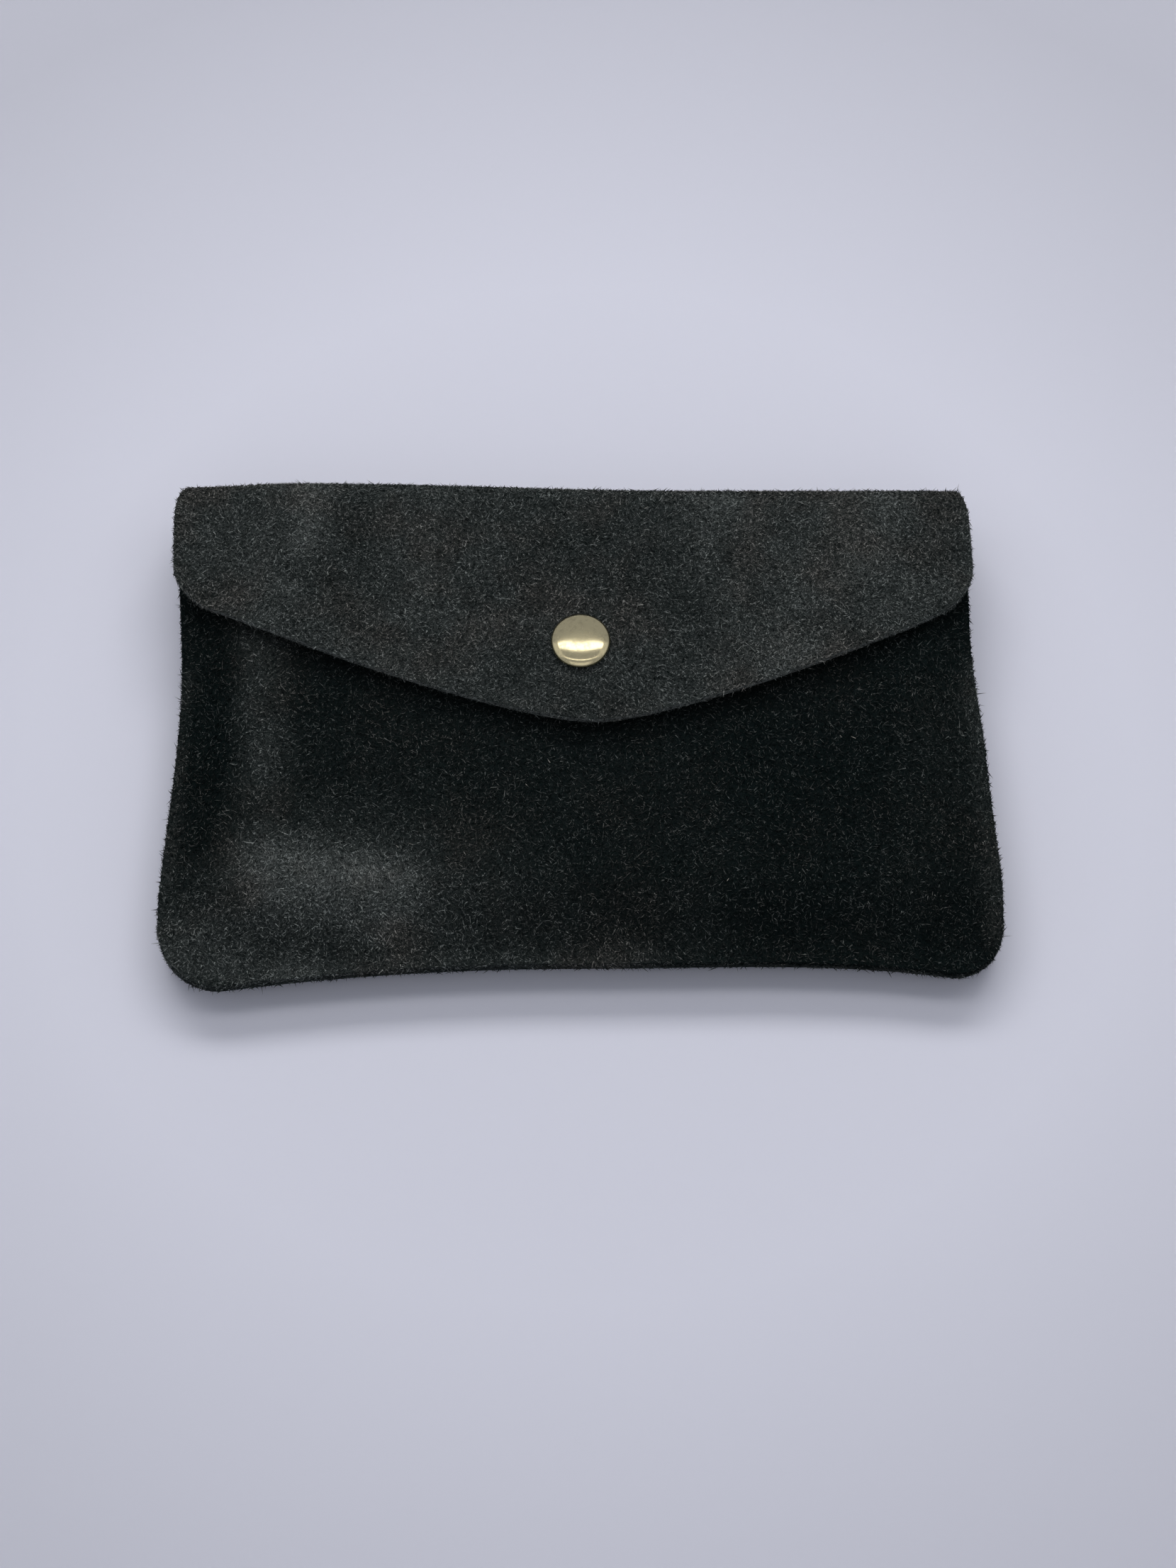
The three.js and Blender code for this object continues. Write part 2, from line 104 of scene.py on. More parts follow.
# ---- Shape of the worn leather ----
WAIST_INSET = 2.2
FOLD_INSET = HALF - FOLD_HIGH[0]
FLARE_HEIGHT = 14
CORNER = {-1: 11.0, 1: 8.5}  # left and right bottom corner
BOTTOM_RISE = 4.3
BOTTOM_RISE_REACH = 30
RIGHT_LIFT = 2.4  # the right bottom corner has drawn up by this much
FLAP_SIDE = FLAP_HIGH[0]
FLAP_SLOPE = (0.23, 0.26)  # of the flap's lower edge left and right of its tip
FLAP_CURVE = 0.0018
TIP_SHIFT = 2.4
TIP_ROUND = 7
SHOULDER = 11
LIP = 1.6  # flat edge of the two layers at the bottom seam
PLY_GAP = 0.05  # between each layer and the seam
SIDE_PRESS = (0.62, 0.42)  # share of its height that the front loses at its left and right side
SIDE_CURL = 0.9  # rise of the back's side edges
GUSSET_DEPTH = 12
LINING = 0.8


# ---- Stage, in metres ----
FLOOR_LIGHT_FALLOFF = (0.10, 0.19)  # distances over which the floor darkens: painted falloff of the light away from the purse
FLOOR_SHADE = 0.78
ROOM_COLOUR = (0.86, 0.90, 1.0, 1)
ROOM_LIGHT = 0.30
LAMP_COLOUR = (1.0, 0.985, 0.965)
LAMPS = {  # name: place, width, depth, power
    "far_strip": ((0, 0.20, 0.66), 1.1, 0.16, 1.05),
    "far_panel": ((0, 1.30, 1.15), 2.0, 0.45, 17.4),
    "near_strip": ((0, -0.24, 0.66), 1.0, 0.03, 0.22),
    "near_panel": ((0, -1.2, 0.8), 1.6, 0.8, 1.2),
    "left_panel": ((-0.9, 0.0, 0.6), 0.8, 0.8, 0.42),
    "right_panel": ((0.9, 0.0, 0.6), 0.8, 0.8, 0.42),
}
CAMERA_PLACE = (0.0013, -0.1784, 0.3846)

# ---- Strokes over the leather: strength, start, end, width ----
FRONT_PUFFS = (
    (0.35, (-60, 26), (-58, -26), 4.5),
    (0.45, (-58, -26), (-36, -34), 7),
    (0.25, (56, 8), (60, -30), 5),
    (-0.35, (34, -8), (48, -26), 8),
)
FLAP_CREASES = (
    (0.30, (-48, 44), (-51, 30), 3.0),
    (0.22, (24, 44), (20, 34), 3.5),
    (0.25, (53, 42), (49, 26), 4.0),
    (0.14, (-36, 17.5), (-7, 16.5), 1.6),
    (-0.22, (-42, 40), (-38, 22), 4.0),
)
FLAP_LIGHT_AND_NAP_STROKES = (  # painted highlight on the crease ridges and painted shade in the dent, with light where the nap stands and dark where it is pressed
    (0.50, (-48, 44), (-50, 33), 3.0),
    (0.26, (28, 43), (22, 36), 4),
    (0.14, (54, 40), (49, 28), 5),
    (0.12, (-36, 18), (-7, 17), 2.2),
    (-0.12, (-43, 38), (-38, 16), 6),
    (-0.08, (-10, 36), (12, 30), 11),
    (0.09, (-40, 10), (-10, 0), 4),
    (0.07, (10, 0), (50, 14), 4),
)
# Painted highlight on the bulges at the bottom left, on the left ridge and along both side edges; painted
# shade left of that ridge and in the dent on the right; with the nap's own tone.
FRONT_LIGHT_AND_NAP_STROKES = (
    (0.30, (-57, 20), (-55, -10), 4.5),
    (0.22, (-50, -28), (-24, -34), 14),
    (0.02, (-30, 4), (10, -20), 16),
    (0.05, (56, -30), (66, 0), 8),
    (0.94, (-52, -29), (-34, -33), 6.5),
    (0.44, (-68, -42), (-52, -46), 8),
    (0.22, (-50, -46), (10, -43), 3),
    (0.10, (-30, -36), (20, -40), 7),
    (-0.10, (-66, 14), (-65, -22), 4.0),
    (-0.02, (30, -6), (52, -24), 10),
    (0.20, (70, 10), (71, -38), 2.4),
    (0.15, (-70, 10), (-71, -30), 1.8),
)
BACK_STROKES = (
    (0.16, (-50, 20), (-20, -10), 16),
    (-0.12, (10, 30), (50, -20), 14),
)
MOTTLE = ((0.18, 16), (0.26, 6), (0.20, 2.4))  # strength and size of the cloudy patches


class PurseLeather(bpy.types.PropertyGroup):
    """Sizes and colours of the suede."""

    # The tone that mixes these two colours carries painted light and shade as well as the nap.
    dark: bpy.props.FloatVectorProperty(
        name="Dark suede", description="Colour where the nap is pressed flat", subtype="COLOR",
        size=3, default=(0.0030, 0.0064, 0.0066))
    light: bpy.props.FloatVectorProperty(
        name="Light suede", description="Colour where the nap is raised", subtype="COLOR",
        size=3, default=(0.240, 0.262, 0.254))
    warm: bpy.props.FloatVectorProperty(
        name="Warm patches", description="Browner colour of worn patches", subtype="COLOR",
        size=3, default=(0.262, 0.256, 0.240))
    fibre_length: bpy.props.FloatProperty(
        name="Nap length", description="Length of an ordinary fibre", unit="LENGTH", default=0.00075)
    fibre_width: bpy.props.FloatProperty(
        name="Nap width", description="Width of a fibre at its root", unit="LENGTH", default=0.00024)
    fibre_count: bpy.props.FloatProperty(
        name="Nap density", description="Fibres in each square millimetre of the flap", default=10.0)


class PurseMetal(bpy.types.PropertyGroup):
    """Colours of the snap and the zip."""

    gold: bpy.props.FloatVectorProperty(
        name="Snap metal", description="Colour of the pale gold snap", subtype="COLOR",
        size=3, default=(0.93, 0.81, 0.49))
    zip_metal: bpy.props.FloatVectorProperty(
        name="Zip metal", description="Colour of the slider and pull", subtype="COLOR",
        size=3, default=(0.62, 0.55, 0.38))
    coil: bpy.props.FloatVectorProperty(
        name="Coil", description="Colour of the nylon coil", subtype="COLOR",
        size=3, default=(0.020, 0.022, 0.023))
    tooth_pitch: bpy.props.FloatProperty(
        name="Tooth pitch", description="Distance between teeth of one coil row", unit="LENGTH",
        default=0.00125)


class PurseStage(bpy.types.PropertyGroup):
    """The floor's colour and the camera."""

    floor: bpy.props.FloatVectorProperty(
        name="Floor", description="Colour of the pale floor", subtype="COLOR",
        size=3, default=(0.72, 0.73, 0.83))
    lens: bpy.props.FloatProperty(
        name="Lens", description="Focal length for a 36 mm sensor", unit="CAMERA", default=54.1)
    tilt: bpy.props.FloatProperty(
        name="Tilt", description="Angle of the camera from straight down", subtype="ANGLE",
        default=math.radians(24))


# ---- Node trees ----
class Value:
    """A node socket that can be used in sums."""

    def __init__(self, tree, socket):
        self.tree = tree
        self.socket = socket

    def math(self, operation, *terms):
        return add_node(self.tree, "ShaderNodeMath", {"operation": operation}, dict(enumerate(terms)))

    def vector(self, operation, *terms, output=0):
        settings = {"operation": operation}
        return add_node(self.tree, "ShaderNodeVectorMath", settings, dict(enumerate(terms)), output)

    def __add__(self, other):
        return self.math("ADD", self, other)

    def __sub__(self, other):
        return self.math("SUBTRACT", self, other)

    def __mul__(self, other):
        return self.math("MULTIPLY", self, other)

    def __pow__(self, other):
        return self.math("POWER", self, other)

    __radd__ = __add__
    __rmul__ = __mul__


def add_node(tree, kind, settings=None, sockets=None, output=0):
    """Adds a node with its settings, then the values or links of its sockets, and returns an output."""
    node = tree.nodes.new(kind)
    for key, value in (settings or {}).items():
        setattr(node, key, value)
    for key, value in (sockets or {}).items():
        if isinstance(value, Value):
            tree.links.new(value.socket, node.inputs[key])
        else:
            node.inputs[key].default_value = value
    return Value(tree, node.outputs[output]) if node.outputs else None


def mix_colour(tree, factor, first, second):
    settings = {"data_type": "RGBA"}
    colours = [value if isinstance(value, Value) else (*value, 1) for value in (first, second)]
    return add_node(tree, "ShaderNodeMix", settings, {0: factor, 6: colours[0], 7: colours[1]}, 2)


def span(tree, value, low, high, start=0.0, end=1.0):
    """Value carried from low..high to start..end, without running past either."""
    return add_node(tree, "ShaderNodeMapRange", None, {0: value, 1: low, 2: high, 3: start, 4: end})


def new_finish(name):
    """A material with only its output node, and its tree."""
    material = bpy.data.materials.new("purse_" + name)
    material.use_nodes = True
    material.node_tree.nodes.clear()
    return material, material.node_tree


def surface(tree, sockets):
    shader = add_node(tree, "ShaderNodeBsdfPrincipled", None, sockets)
    add_node(tree, "ShaderNodeOutputMaterial", None, {"Surface": shader})


def place(tree):
    """Object coordinates in millimetres."""
    return scaled(add_node(tree, "ShaderNodeTexCoord", output=3), 1 / MM)


def scaled(vector, factor):
    return add_node(vector.tree, "ShaderNodeVectorMath", {"operation": "SCALE"}, {0: vector, 3: factor})


def grain(tree, where, scale, detail=2.0, rough=0.5):
    """Noise with about `scale` lumps to a millimetre."""
    return add_node(tree, "ShaderNodeTexNoise", None,
                    {"Vector": where, "Scale": scale, "Detail": detail, "Roughness": rough})


def bump(tree, height, distance):
    return add_node(tree, "ShaderNodeBump", None,
                    {"Strength": 1.0, "Distance": distance * MM, "Height": height})


def leather_colour(tree, tone, where):
    """Suede's colour for a tone from 0, dark, to 1, light, with browner patches; the tone is partly the nap,
    pressed or raised, and partly painted light and shade.
    """
    leather = bpy.context.scene.purse_leather
    patches = span(tree, grain(tree, where, 0.075, 3.0), 0.46, 0.66)
    raised = mix_colour(tree, patches, leather.light, leather.warm)
    return mix_colour(tree, tone, leather.dark, raised)


def suede_finish():
    """The leather under the nap: dark, with a fine broken grain; kept darker than the fibres and darker where
    the grain sinks, partly as painted shade under the nap.
    """
    material, tree = new_finish("suede")
    where = place(tree)
    tone = add_node(tree, "ShaderNodeAttribute", {"attribute_name": "tone"}, output=2)
    grains = grain(tree, where, 3.2, 3.0, 0.65)
    # Painted shade: the leather under the fibres darkens, most where the grain's bump sinks.
    depth = span(tree, grains, 0.35, 0.7, 0.05, 0.45)
    surface(tree, {
        "Base Color": leather_colour(tree, tone * depth, where),
        "Roughness": span(tree, grains, 0.3, 0.7, 0.85, 1.0),
        "Specular IOR Level": 0.0,
        "Normal": bump(tree, grains, 0.22)})
    return material


def nap_finish():
    """The raised fibres, each with its own shade."""
    material, tree = new_finish("nap")
    where = place(tree)
    tone = add_node(tree, "ShaderNodeAttribute", {"attribute_name": "tone"}, output=2)
    shade = add_node(tree, "ShaderNodeAttribute", {"attribute_name": "shade"}, output=2)
    clumps = span(tree, grain(tree, where, 1.8, 3.0, 0.75), 0.37, 0.66, 0.25, 1.4)
    speck = span(tree, shade, 0.70, 0.95, 0.0, 0.26) * clumps
    body = leather_colour(tree, tone * clumps * clumps * (0.4 + shade * shade * 1.4) + speck, where)
    lint = span(tree, shade, 0.9998, 0.99981)
    surface(tree, {
        "Base Color": mix_colour(tree, lint, body, (0.42, 0.40, 0.36)),
        "Roughness": span(tree, shade, 0.0, 1.0, 0.75, 0.95),
        "Specular IOR Level": 0.0})
    return material


def lining_finish():
    """The smooth side of the split leather: matt, with pores and faint creases."""
    material, tree = new_finish("lining")
    where = place(tree)
    pores = grain(tree, where, 2.4, 4.0, 0.7)
    clouds = grain(tree, where, 0.12, 3.0)
    shade = span(tree, pores, 0.3, 0.75, 0.10, 0.30) * span(tree, clouds, 0.3, 0.7, 0.85, 1.1)
    leather = bpy.context.scene.purse_leather
    surface(tree, {
        "Base Color": mix_colour(tree, shade, leather.dark, leather.light),
        "Roughness": span(tree, pores, 0.3, 0.7, 0.68, 0.92),
        "Specular IOR Level": 0.12,
        "Normal": bump(tree, pores, 0.12)})
    return material


def cut_edge_finish():
    """The raw cut edge of the flap: paler fibre ends in thin layers."""
    material, tree = new_finish("cut_edge")
    where = place(tree)
    layers = grain(tree, add_node(tree, "ShaderNodeMapping", None,
                                  {"Vector": where, "Scale": (0.5, 0.5, 6.0)}), 1.6, 3.0, 0.7)
    leather = bpy.context.scene.purse_leather
    pale = [channel * 1.35 for channel in leather.light]
    surface(tree, {
        "Base Color": mix_colour(tree, span(tree, layers, 0.35, 0.7), leather.dark, pale),
        "Roughness": span(tree, layers, 0.3, 0.7, 0.8, 1.0),
        "Specular IOR Level": 0.15,
        "Normal": bump(tree, layers, 0.2)})
    return material


def metal_finish(name, colour, roughness, tarnish):
    """Plated metal with fine scratches and a little tarnish."""
    material, tree = new_finish(name)
    where = place(tree)
    along = add_node(tree, "ShaderNodeMapping", None,
                     {"Vector": where, "Rotation": (0, 0, 0.6), "Scale": (9.0, 0.7, 4.0)})
    across = add_node(tree, "ShaderNodeMapping", None,
                      {"Vector": where, "Rotation": (0, 0, -0.9), "Scale": (8.0, 0.8, 4.0)})
    scratches = grain(tree, along, 1.5, 2.0).math("MAXIMUM", grain(tree, along, 1.5), grain(tree, across, 1.5))
    scratch = span(tree, scratches, 0.68, 0.78)
    stain = span(tree, grain(tree, where, 0.9, 4.0, 0.7), 0.5, 0.72, 0.0, tarnish)
    dull = [channel * 0.55 for channel in colour]
    surface(tree, {
        "Base Color": mix_colour(tree, stain, colour, dull),
        "Metallic": 1.0,
        "Roughness": roughness + stain * 0.18 + scratch * 0.16,
        "Normal": bump(tree, scratch, 0.006)})
    return material


def tape_finish():
    """Woven zip tape: a fine twill."""
    material, tree = new_finish("zip_tape")
    where = place(tree)
    twill = add_node(tree, "ShaderNodeMapping", None, {"Vector": where, "Rotation": (0, 0, 0.8)})
    ribs = add_node(tree, "ShaderNodeTexWave", {"bands_direction": "X"},
                    {"Vector": twill, "Scale": 1.1, "Distortion": 1.0, "Detail": 1.0})
    surface(tree, {
        "Base Color": mix_colour(tree, ribs, (0.006, 0.007, 0.008), (0.024, 0.026, 0.028)),
        "Roughness": span(tree, ribs, 0.0, 1.0, 0.95, 0.75),
        "Specular IOR Level": 0.2,
        "Normal": bump(tree, ribs, 0.08)})
    return material


def thread_finish(name, colour):
    """Twisted yarn or drawn nylon, with a faint change of tone along it."""
    material, tree = new_finish(name)
    where = place(tree)
    strands = grain(tree, where, 4.0, 2.0)
    dark = [channel * 0.5 for channel in colour]
    surface(tree, {
        "Base Color": mix_colour(tree, span(tree, strands, 0.35, 0.65), dark, colour),
        "Roughness": span(tree, strands, 0.3, 0.7, 0.45, 0.65),
        "Specular IOR Level": 0.35,
        "Normal": bump(tree, strands, 0.03)})
    return material


def finish(name):
    """The named material, made the first time it is asked for."""
    if "purse_" + name in bpy.data.materials:
        return bpy.data.materials["purse_" + name]
    metal = bpy.context.scene.purse_metal
    makers = {
        "suede": suede_finish,
        "nap": nap_finish,
        "lining": lining_finish,
        "cut_edge": cut_edge_finish,
        "zip_tape": tape_finish,
        "snap_metal": lambda: metal_finish("snap_metal", tuple(metal.gold), 0.15, 0.55),
        "zip_metal": lambda: metal_finish("zip_metal", tuple(metal.zip_metal), 0.24, 0.5),
        "coil": lambda: thread_finish("coil", tuple(metal.coil)),
        "thread": lambda: thread_finish("thread", (0.030, 0.034, 0.035)),
    }
    return makers[name]()


# ---- Meshes ----
def smooth(value, low, high):
    """Smoothstep from 0 at low to 1 at high."""
    share = np.clip((value - low) / (high - low), 0, 1)
    return share * share * (3 - 2 * share)


def ridge(x, y, start, end, width):
    """1 on the line from start to end, fading to nothing over about `width` to each side."""
    start, end = np.array(start, float), np.array(end, float)
    along = end - start
    share = ((x - start[0]) * along[0] + (y - start[1]) * along[1]) / (along @ along)
    share = np.clip(share, 0, 1)
    away = np.hypot(x - start[0] - share * along[0], y - start[1] - share * along[1])
    return np.exp(-(away / width) ** 2)


def strokes(x, y, table):
    """Sum of the ridges in a table of strokes."""
    return sum(strength * ridge(x, y, start, end, width) for strength, start, end, width in table)


def clouds(points, size, seed):
    """Smooth noise from about -1 to 1 at each point, with lumps of about `size`."""
    shift = Vector((seed * 17.3, seed * 5.1, 0))
    return np.array([noise.noise(Vector(p) / size + shift) for p in points])


def new_object(name, mesh):
    obj = bpy.data.objects.new(name, mesh)
    bpy.context.scene.collection.objects.link(obj)
    return obj


def evaluated(obj, name):
    """A new object with the shape that obj has under its modifiers."""
    graph = bpy.context.evaluated_depsgraph_get()
    mesh = bpy.data.meshes.new_from_object(obj.evaluated_get(graph), depsgraph=graph)
    mesh.name = name
    return new_object(name, mesh)


def remove(obj):
    mesh = obj.data
    bpy.data.objects.remove(obj)
    bpy.data.meshes.remove(mesh)


def coordinates(mesh):
    values = np.empty(len(mesh.vertices) * 3)
    mesh.vertices.foreach_get("co", values)
    return values.reshape(-1, 3) / MM


def normals(mesh):
    return np.array([vertex.normal for vertex in mesh.vertices])


def write_attribute(mesh, name, values):
    attribute = mesh.attributes.get(name) or mesh.attributes.new(name, "FLOAT", "POINT")
    attribute.data.foreach_set("value", np.asarray(values, np.float32))


def sheet_mesh(name, grid):
    """A mesh of quads over a grid of points, rows by columns, in millimetres."""
    rows, columns = grid.shape[:2]
    corner = np.arange(rows - 1)[:, None] * columns + np.arange(columns - 1)
    quads = np.stack([corner, corner + 1, corner + columns + 1, corner + columns], -1).reshape(-1, 4)
    mesh = bpy.data.meshes.new(name)
    mesh.from_pydata((grid.reshape(-1, 3) * MM).tolist(), [], quads.tolist())
    return mesh


def leather_shell(name, grid, thickness, rounding):
    """Leather of a given thickness about a grid of points, with softened edges and faces outwards."""
    blank = new_object("blank", sheet_mesh("blank", grid))
    wall = blank.modifiers.new("wall", "SOLIDIFY")
    wall.thickness = thickness * MM
    wall.offset = 0
    edge = blank.modifiers.new("edge", "BEVEL")
    edge.width = rounding * MM
    edge.segments = 3
    edge.limit_method = "ANGLE"
    edge.angle_limit = math.radians(50)
    shell = evaluated(blank, name)
    remove(blank)
    whole = bmesh.new()
    whole.from_mesh(shell.data)
    bmesh.ops.recalc_face_normals(whole, faces=whole.faces)
    whole.to_mesh(shell.data)
    whole.free()
    shell.data.shade_smooth()
    return shell


def outer_side(points, directions):
    """True where a surface faces out of the closed purse rather than into it."""
    core = np.stack([np.clip(points[:, 0], -62, 62), np.clip(points[:, 1], -40, FOLD_START),
                     np.full(len(points), SEAM)], -1)
    return np.einsum("ij,ij->i", points - core, directions) > 0.15


# ---- Outline and height of the leather ----
def settled(x, y):
    """Where the handled purse's outline has moved to: the fold has drawn left and dips to the right."""
    fold_dip = -1.6 * smooth(x, -50, 20) - 0.9 * smooth(-x, 52, 72)
    moved_y = y + fold_dip * smooth(y, 22, TOP) + RIGHT_LIFT * smooth(x, 0, 60) * smooth(-y, 16, 42)
    edge = smooth(np.abs(x), 58, 70)
    left = -1.7 * smooth(y, 4, 40) * (x < 0)
    right = (-1.4 * smooth(y, -6, 18) - 0.5 * smooth(y, 30, TOP)) * (x > 0)
    corner = -1.5 * smooth(y, FOLD_BACK - 9, FOLD_BACK + 1) ** 2 * smooth(np.abs(x), 62, 72)
    foot = -0.9 * smooth(-y, 0, 30) * smooth(np.abs(x), 40, 72)
    return x + (left + right) * edge + (corner + foot) * np.sign(x), moved_y


def half_width(y, side):
    """Half the purse's width at a height above its bottom corners, the corner's round included."""
    straight = HALF - WAIST_INSET * smooth(y, BOTTOM + FLARE_HEIGHT, 0)
    straight = straight + (WAIST_INSET - FOLD_INSET) * smooth(y, 0, TOP)
    radius = np.where(side < 0, CORNER[-1], CORNER[1])
    drop = np.maximum(0, radius - (y - BOTTOM))
    return straight - radius + np.sqrt(np.maximum(radius ** 2 - drop ** 2, 0))


def bottom_rise(share, y):
    """The middle of the bottom edge stands back from the corners."""
    return BOTTOM_RISE * (1 - share ** 2) * np.maximum(0, 1 - (y - BOTTOM) / BOTTOM_RISE_REACH) ** 2


def side_fall(x, y):
    """0 inside, rising to 1 at the side edges, over a wider stretch on the left."""
    room = half_width(y, x) - np.abs(x)
    return 1 - smooth(room, 0, np.where(x < 0, 13, 9))


def front_height(x, y):
    """Middle of the front panel: a flat lip at the seam, a long soft roll, and sides pressed down."""
    lip = SEAM + LEATHER / 2 + PLY_GAP
    depth = np.where(x < 0, *SIDE_PRESS) * side_fall(x, y)
    rise = smooth(y, BOTTOM + LIP, BOTTOM + 19)
    return lip + (FRONT_Z - lip) * rise * (1 - depth) + strokes(x, y, FRONT_PUFFS) * rise


def back_height(x, y):
    """Middle of the back panel: flat on its bottom, rising to the seam, its sides turned up a little."""
    lip = SEAM - LEATHER / 2 - PLY_GAP
    rise = 1 - smooth(y, BOTTOM + LIP, BOTTOM + 13)
    return BACK_Z + (lip - BACK_Z) * rise + SIDE_CURL * side_fall(x, y) * (1 - rise)


def row_places(start, end, count, radius):
    """Rows from start to end, closer together round the bottom corners."""
    turn = np.linspace(0, math.pi / 2, 14)
    corner = start + radius * (1 - np.cos(turn))
    return np.concatenate([corner[:-1], np.linspace(corner[-1], end, count)])


def panel_grid(rows, columns, height):
    """A panel's middle surface over rows of y, from the seam up."""
    share = np.sin(np.linspace(-1, 1, columns) * 1.25) / math.sin(1.25)
    share, y = np.meshgrid(share, rows)
    x = share * half_width(y - (rows[0] - BOTTOM), share)
    z = height(x, y)
    x, y = settled(x, y + bottom_rise(share, y))
    return np.stack([x, y, z], -1)


def fold_arc(centre_z, start, end, steps):
    """Y and z round one crease of the fold; 0 degrees points to the back of the fold."""
    turn = np.radians(np.linspace(start, end, steps))
    return FOLD_START + FOLD_RADIUS * np.cos(turn), centre_z + FOLD_RADIUS * np.sin(turn)


def fold_rows(y_run, z_run, columns, half):
    """Rows across the fold at each y and z."""
    share = np.sin(np.linspace(-1, 1, columns) * 1.25) / math.sin(1.25)
    share, y = np.meshgrid(share, y_run)
    z = np.meshgrid(share[0], z_run)[1]
    x, y = settled(share * half, y)
    return np.stack([x, y, z], -1)


def back_grid():
    inset = LEATHER / 2
    rows = row_places(BOTTOM + inset, FOLD_START, 64, CORNER[-1])
    flat = panel_grid(rows, 150, back_height)
    arc_y, arc_z = fold_arc(BACK_Z + FOLD_RADIUS, -90, 0, 16)
    arc = fold_rows(np.append(arc_y[1:], FOLD_BACK), np.append(arc_z[1:], SPINE_Z), 150,
                    half_width(FOLD_START, 1))
    side = smooth(np.abs(arc[..., 0]), HALF - 13, HALF - 1.2)
    arc[..., 2] += SIDE_CURL * side * np.linspace(1, 0, arc.shape[0])[:, None]
    return np.concatenate([flat, arc])


def flap_edge(share):
    """X and y of the flap's lower edge, for a share from -1 at the left shoulder to 1 at the right."""
    side = np.where(share < 0, -1.0, 1.0)

    def fall(x):
        off = x - TIP_SHIFT
        straight = np.where(off < 0, *FLAP_SLOPE) * (np.hypot(off, TIP_ROUND) - TIP_ROUND)
        return TIP + straight + FLAP_CURVE * off ** 2

    end = side * (FLAP_SIDE - SHOULDER / 2)
    tilt = np.arctan((fall(end) - fall(end - side)))
    straight_to = FLAP_SIDE - SHOULDER * (1 - np.sin(tilt))
    reach = np.abs(share)
    middle = fall(side * straight_to) + SHOULDER * np.cos(tilt)
    turn = tilt + (math.pi / 2 - tilt) * np.clip((reach - 0.8) / 0.2, 0, 1)
    x = np.where(reach <= 0.8, reach / 0.8 * straight_to, FLAP_SIDE - SHOULDER * (1 - np.sin(turn)))
    y = np.where(reach <= 0.8, fall(side * x), middle - SHOULDER * np.cos(turn))
    return side * x, y


def flap_height(x, y):
    """Middle of the flap: nearly flat, its sides resting lower, with creases from being folded."""
    droop = -1.3 * smooth(np.abs(x), 50, 72) * smooth(FOLD_START - y, 0, 12)
    from_snap = np.hypot(x - SNAP[0], y - SNAP[1])
    dimple = -0.16 * np.exp(-((from_snap - 6.6) / 1.4) ** 2)
    return FLAP_Z + droop + strokes(x, y, FLAP_CREASES) + dimple


def flap_grid():
    columns = 170
    share = np.linspace(-1, 1, columns)
    edge_x, edge_y = flap_edge(share)
    up = np.linspace(0, 1, 60)[:, None]
    y = edge_y + (FOLD_START - edge_y) * up
    fold_half = half_width(FOLD_START, 1)
    x = edge_x * (1 - up) + edge_x / FLAP_SIDE * fold_half * up
    z = flap_height(x, y)
    arc_y, arc_z = fold_arc(FLAP_Z - FOLD_RADIUS, 90, 0, 16)
    arc_y, arc_z = np.append(arc_y[1:], FOLD_BACK), np.append(arc_z[1:], SPINE_Z)
    across = np.repeat((edge_x / FLAP_SIDE * fold_half)[None], len(arc_y), 0)
    fade = np.linspace(1, 0, len(arc_y))[:, None] ** 2
    lift = (flap_height(across, np.full_like(across, FOLD_START)) - FLAP_Z) * fade
    arc = np.stack([across, np.repeat(arc_y[:, None], columns, 1), arc_z[:, None] + lift], -1)
    grid = np.concatenate([np.stack([x, y, z], -1), arc])
    grid[..., 0], grid[..., 1] = settled(grid[..., 0], grid[..., 1])
    return grid


def front_grid():
    inset = LEATHER / 2
    rows = row_places(BOTTOM + inset + 0.15, MOUTH, 64, CORNER[-1])
    return panel_grid(rows, 150, front_height)


def gusset_grid(side):
    """A folded side gusset's middle surface: from the back panel's edge in to the fold and out again."""
    y = np.linspace(BOTTOM + 5, MOUTH - 0.4, 70)[:, None]
    turn = np.linspace(-1, 1, 25)[None]
    edge = half_width(y, np.full_like(y, side)) - 1.3
    depth = GUSSET_DEPTH * smooth(y, BOTTOM + 4, BOTTOM + 19) + 0.3
    inwards = depth * (1.06 - np.sqrt(turn ** 2 * 1.12 + 0.004))
    x = side * (edge - np.maximum(inwards, 0))
    gap = (LEATHER + LINING) / 2 + 0.12
    rear = back_height(side * edge, y) + gap
    fore = np.maximum(front_height(side * edge, y) - gap, rear + 0.2)
    share = (turn + 1) / 2
    z = rear + (fore - rear) * share
    x, y = settled(x, np.repeat(y, turn.shape[1], 1))
    return np.stack([x, y, z], -1)


# ---- Tone of the nap, with painted light and shade ----
def flap_tone(x, y):
    sides = 0.07 * smooth(-x, 10, 60) + 0.10 * smooth(x, 10, 40) - 0.04 * smooth(x, 40, 60)
    return 0.46 + sides + strokes(x, y, FLAP_LIGHT_AND_NAP_STROKES)


def front_tone(x, y):
    return 0.066 - 0.010 * smooth(x, 20, 60) + strokes(x, y, FRONT_LIGHT_AND_NAP_STROKES)


def back_tone(x, y):
    return 0.36 + strokes(x, y, BACK_STROKES)


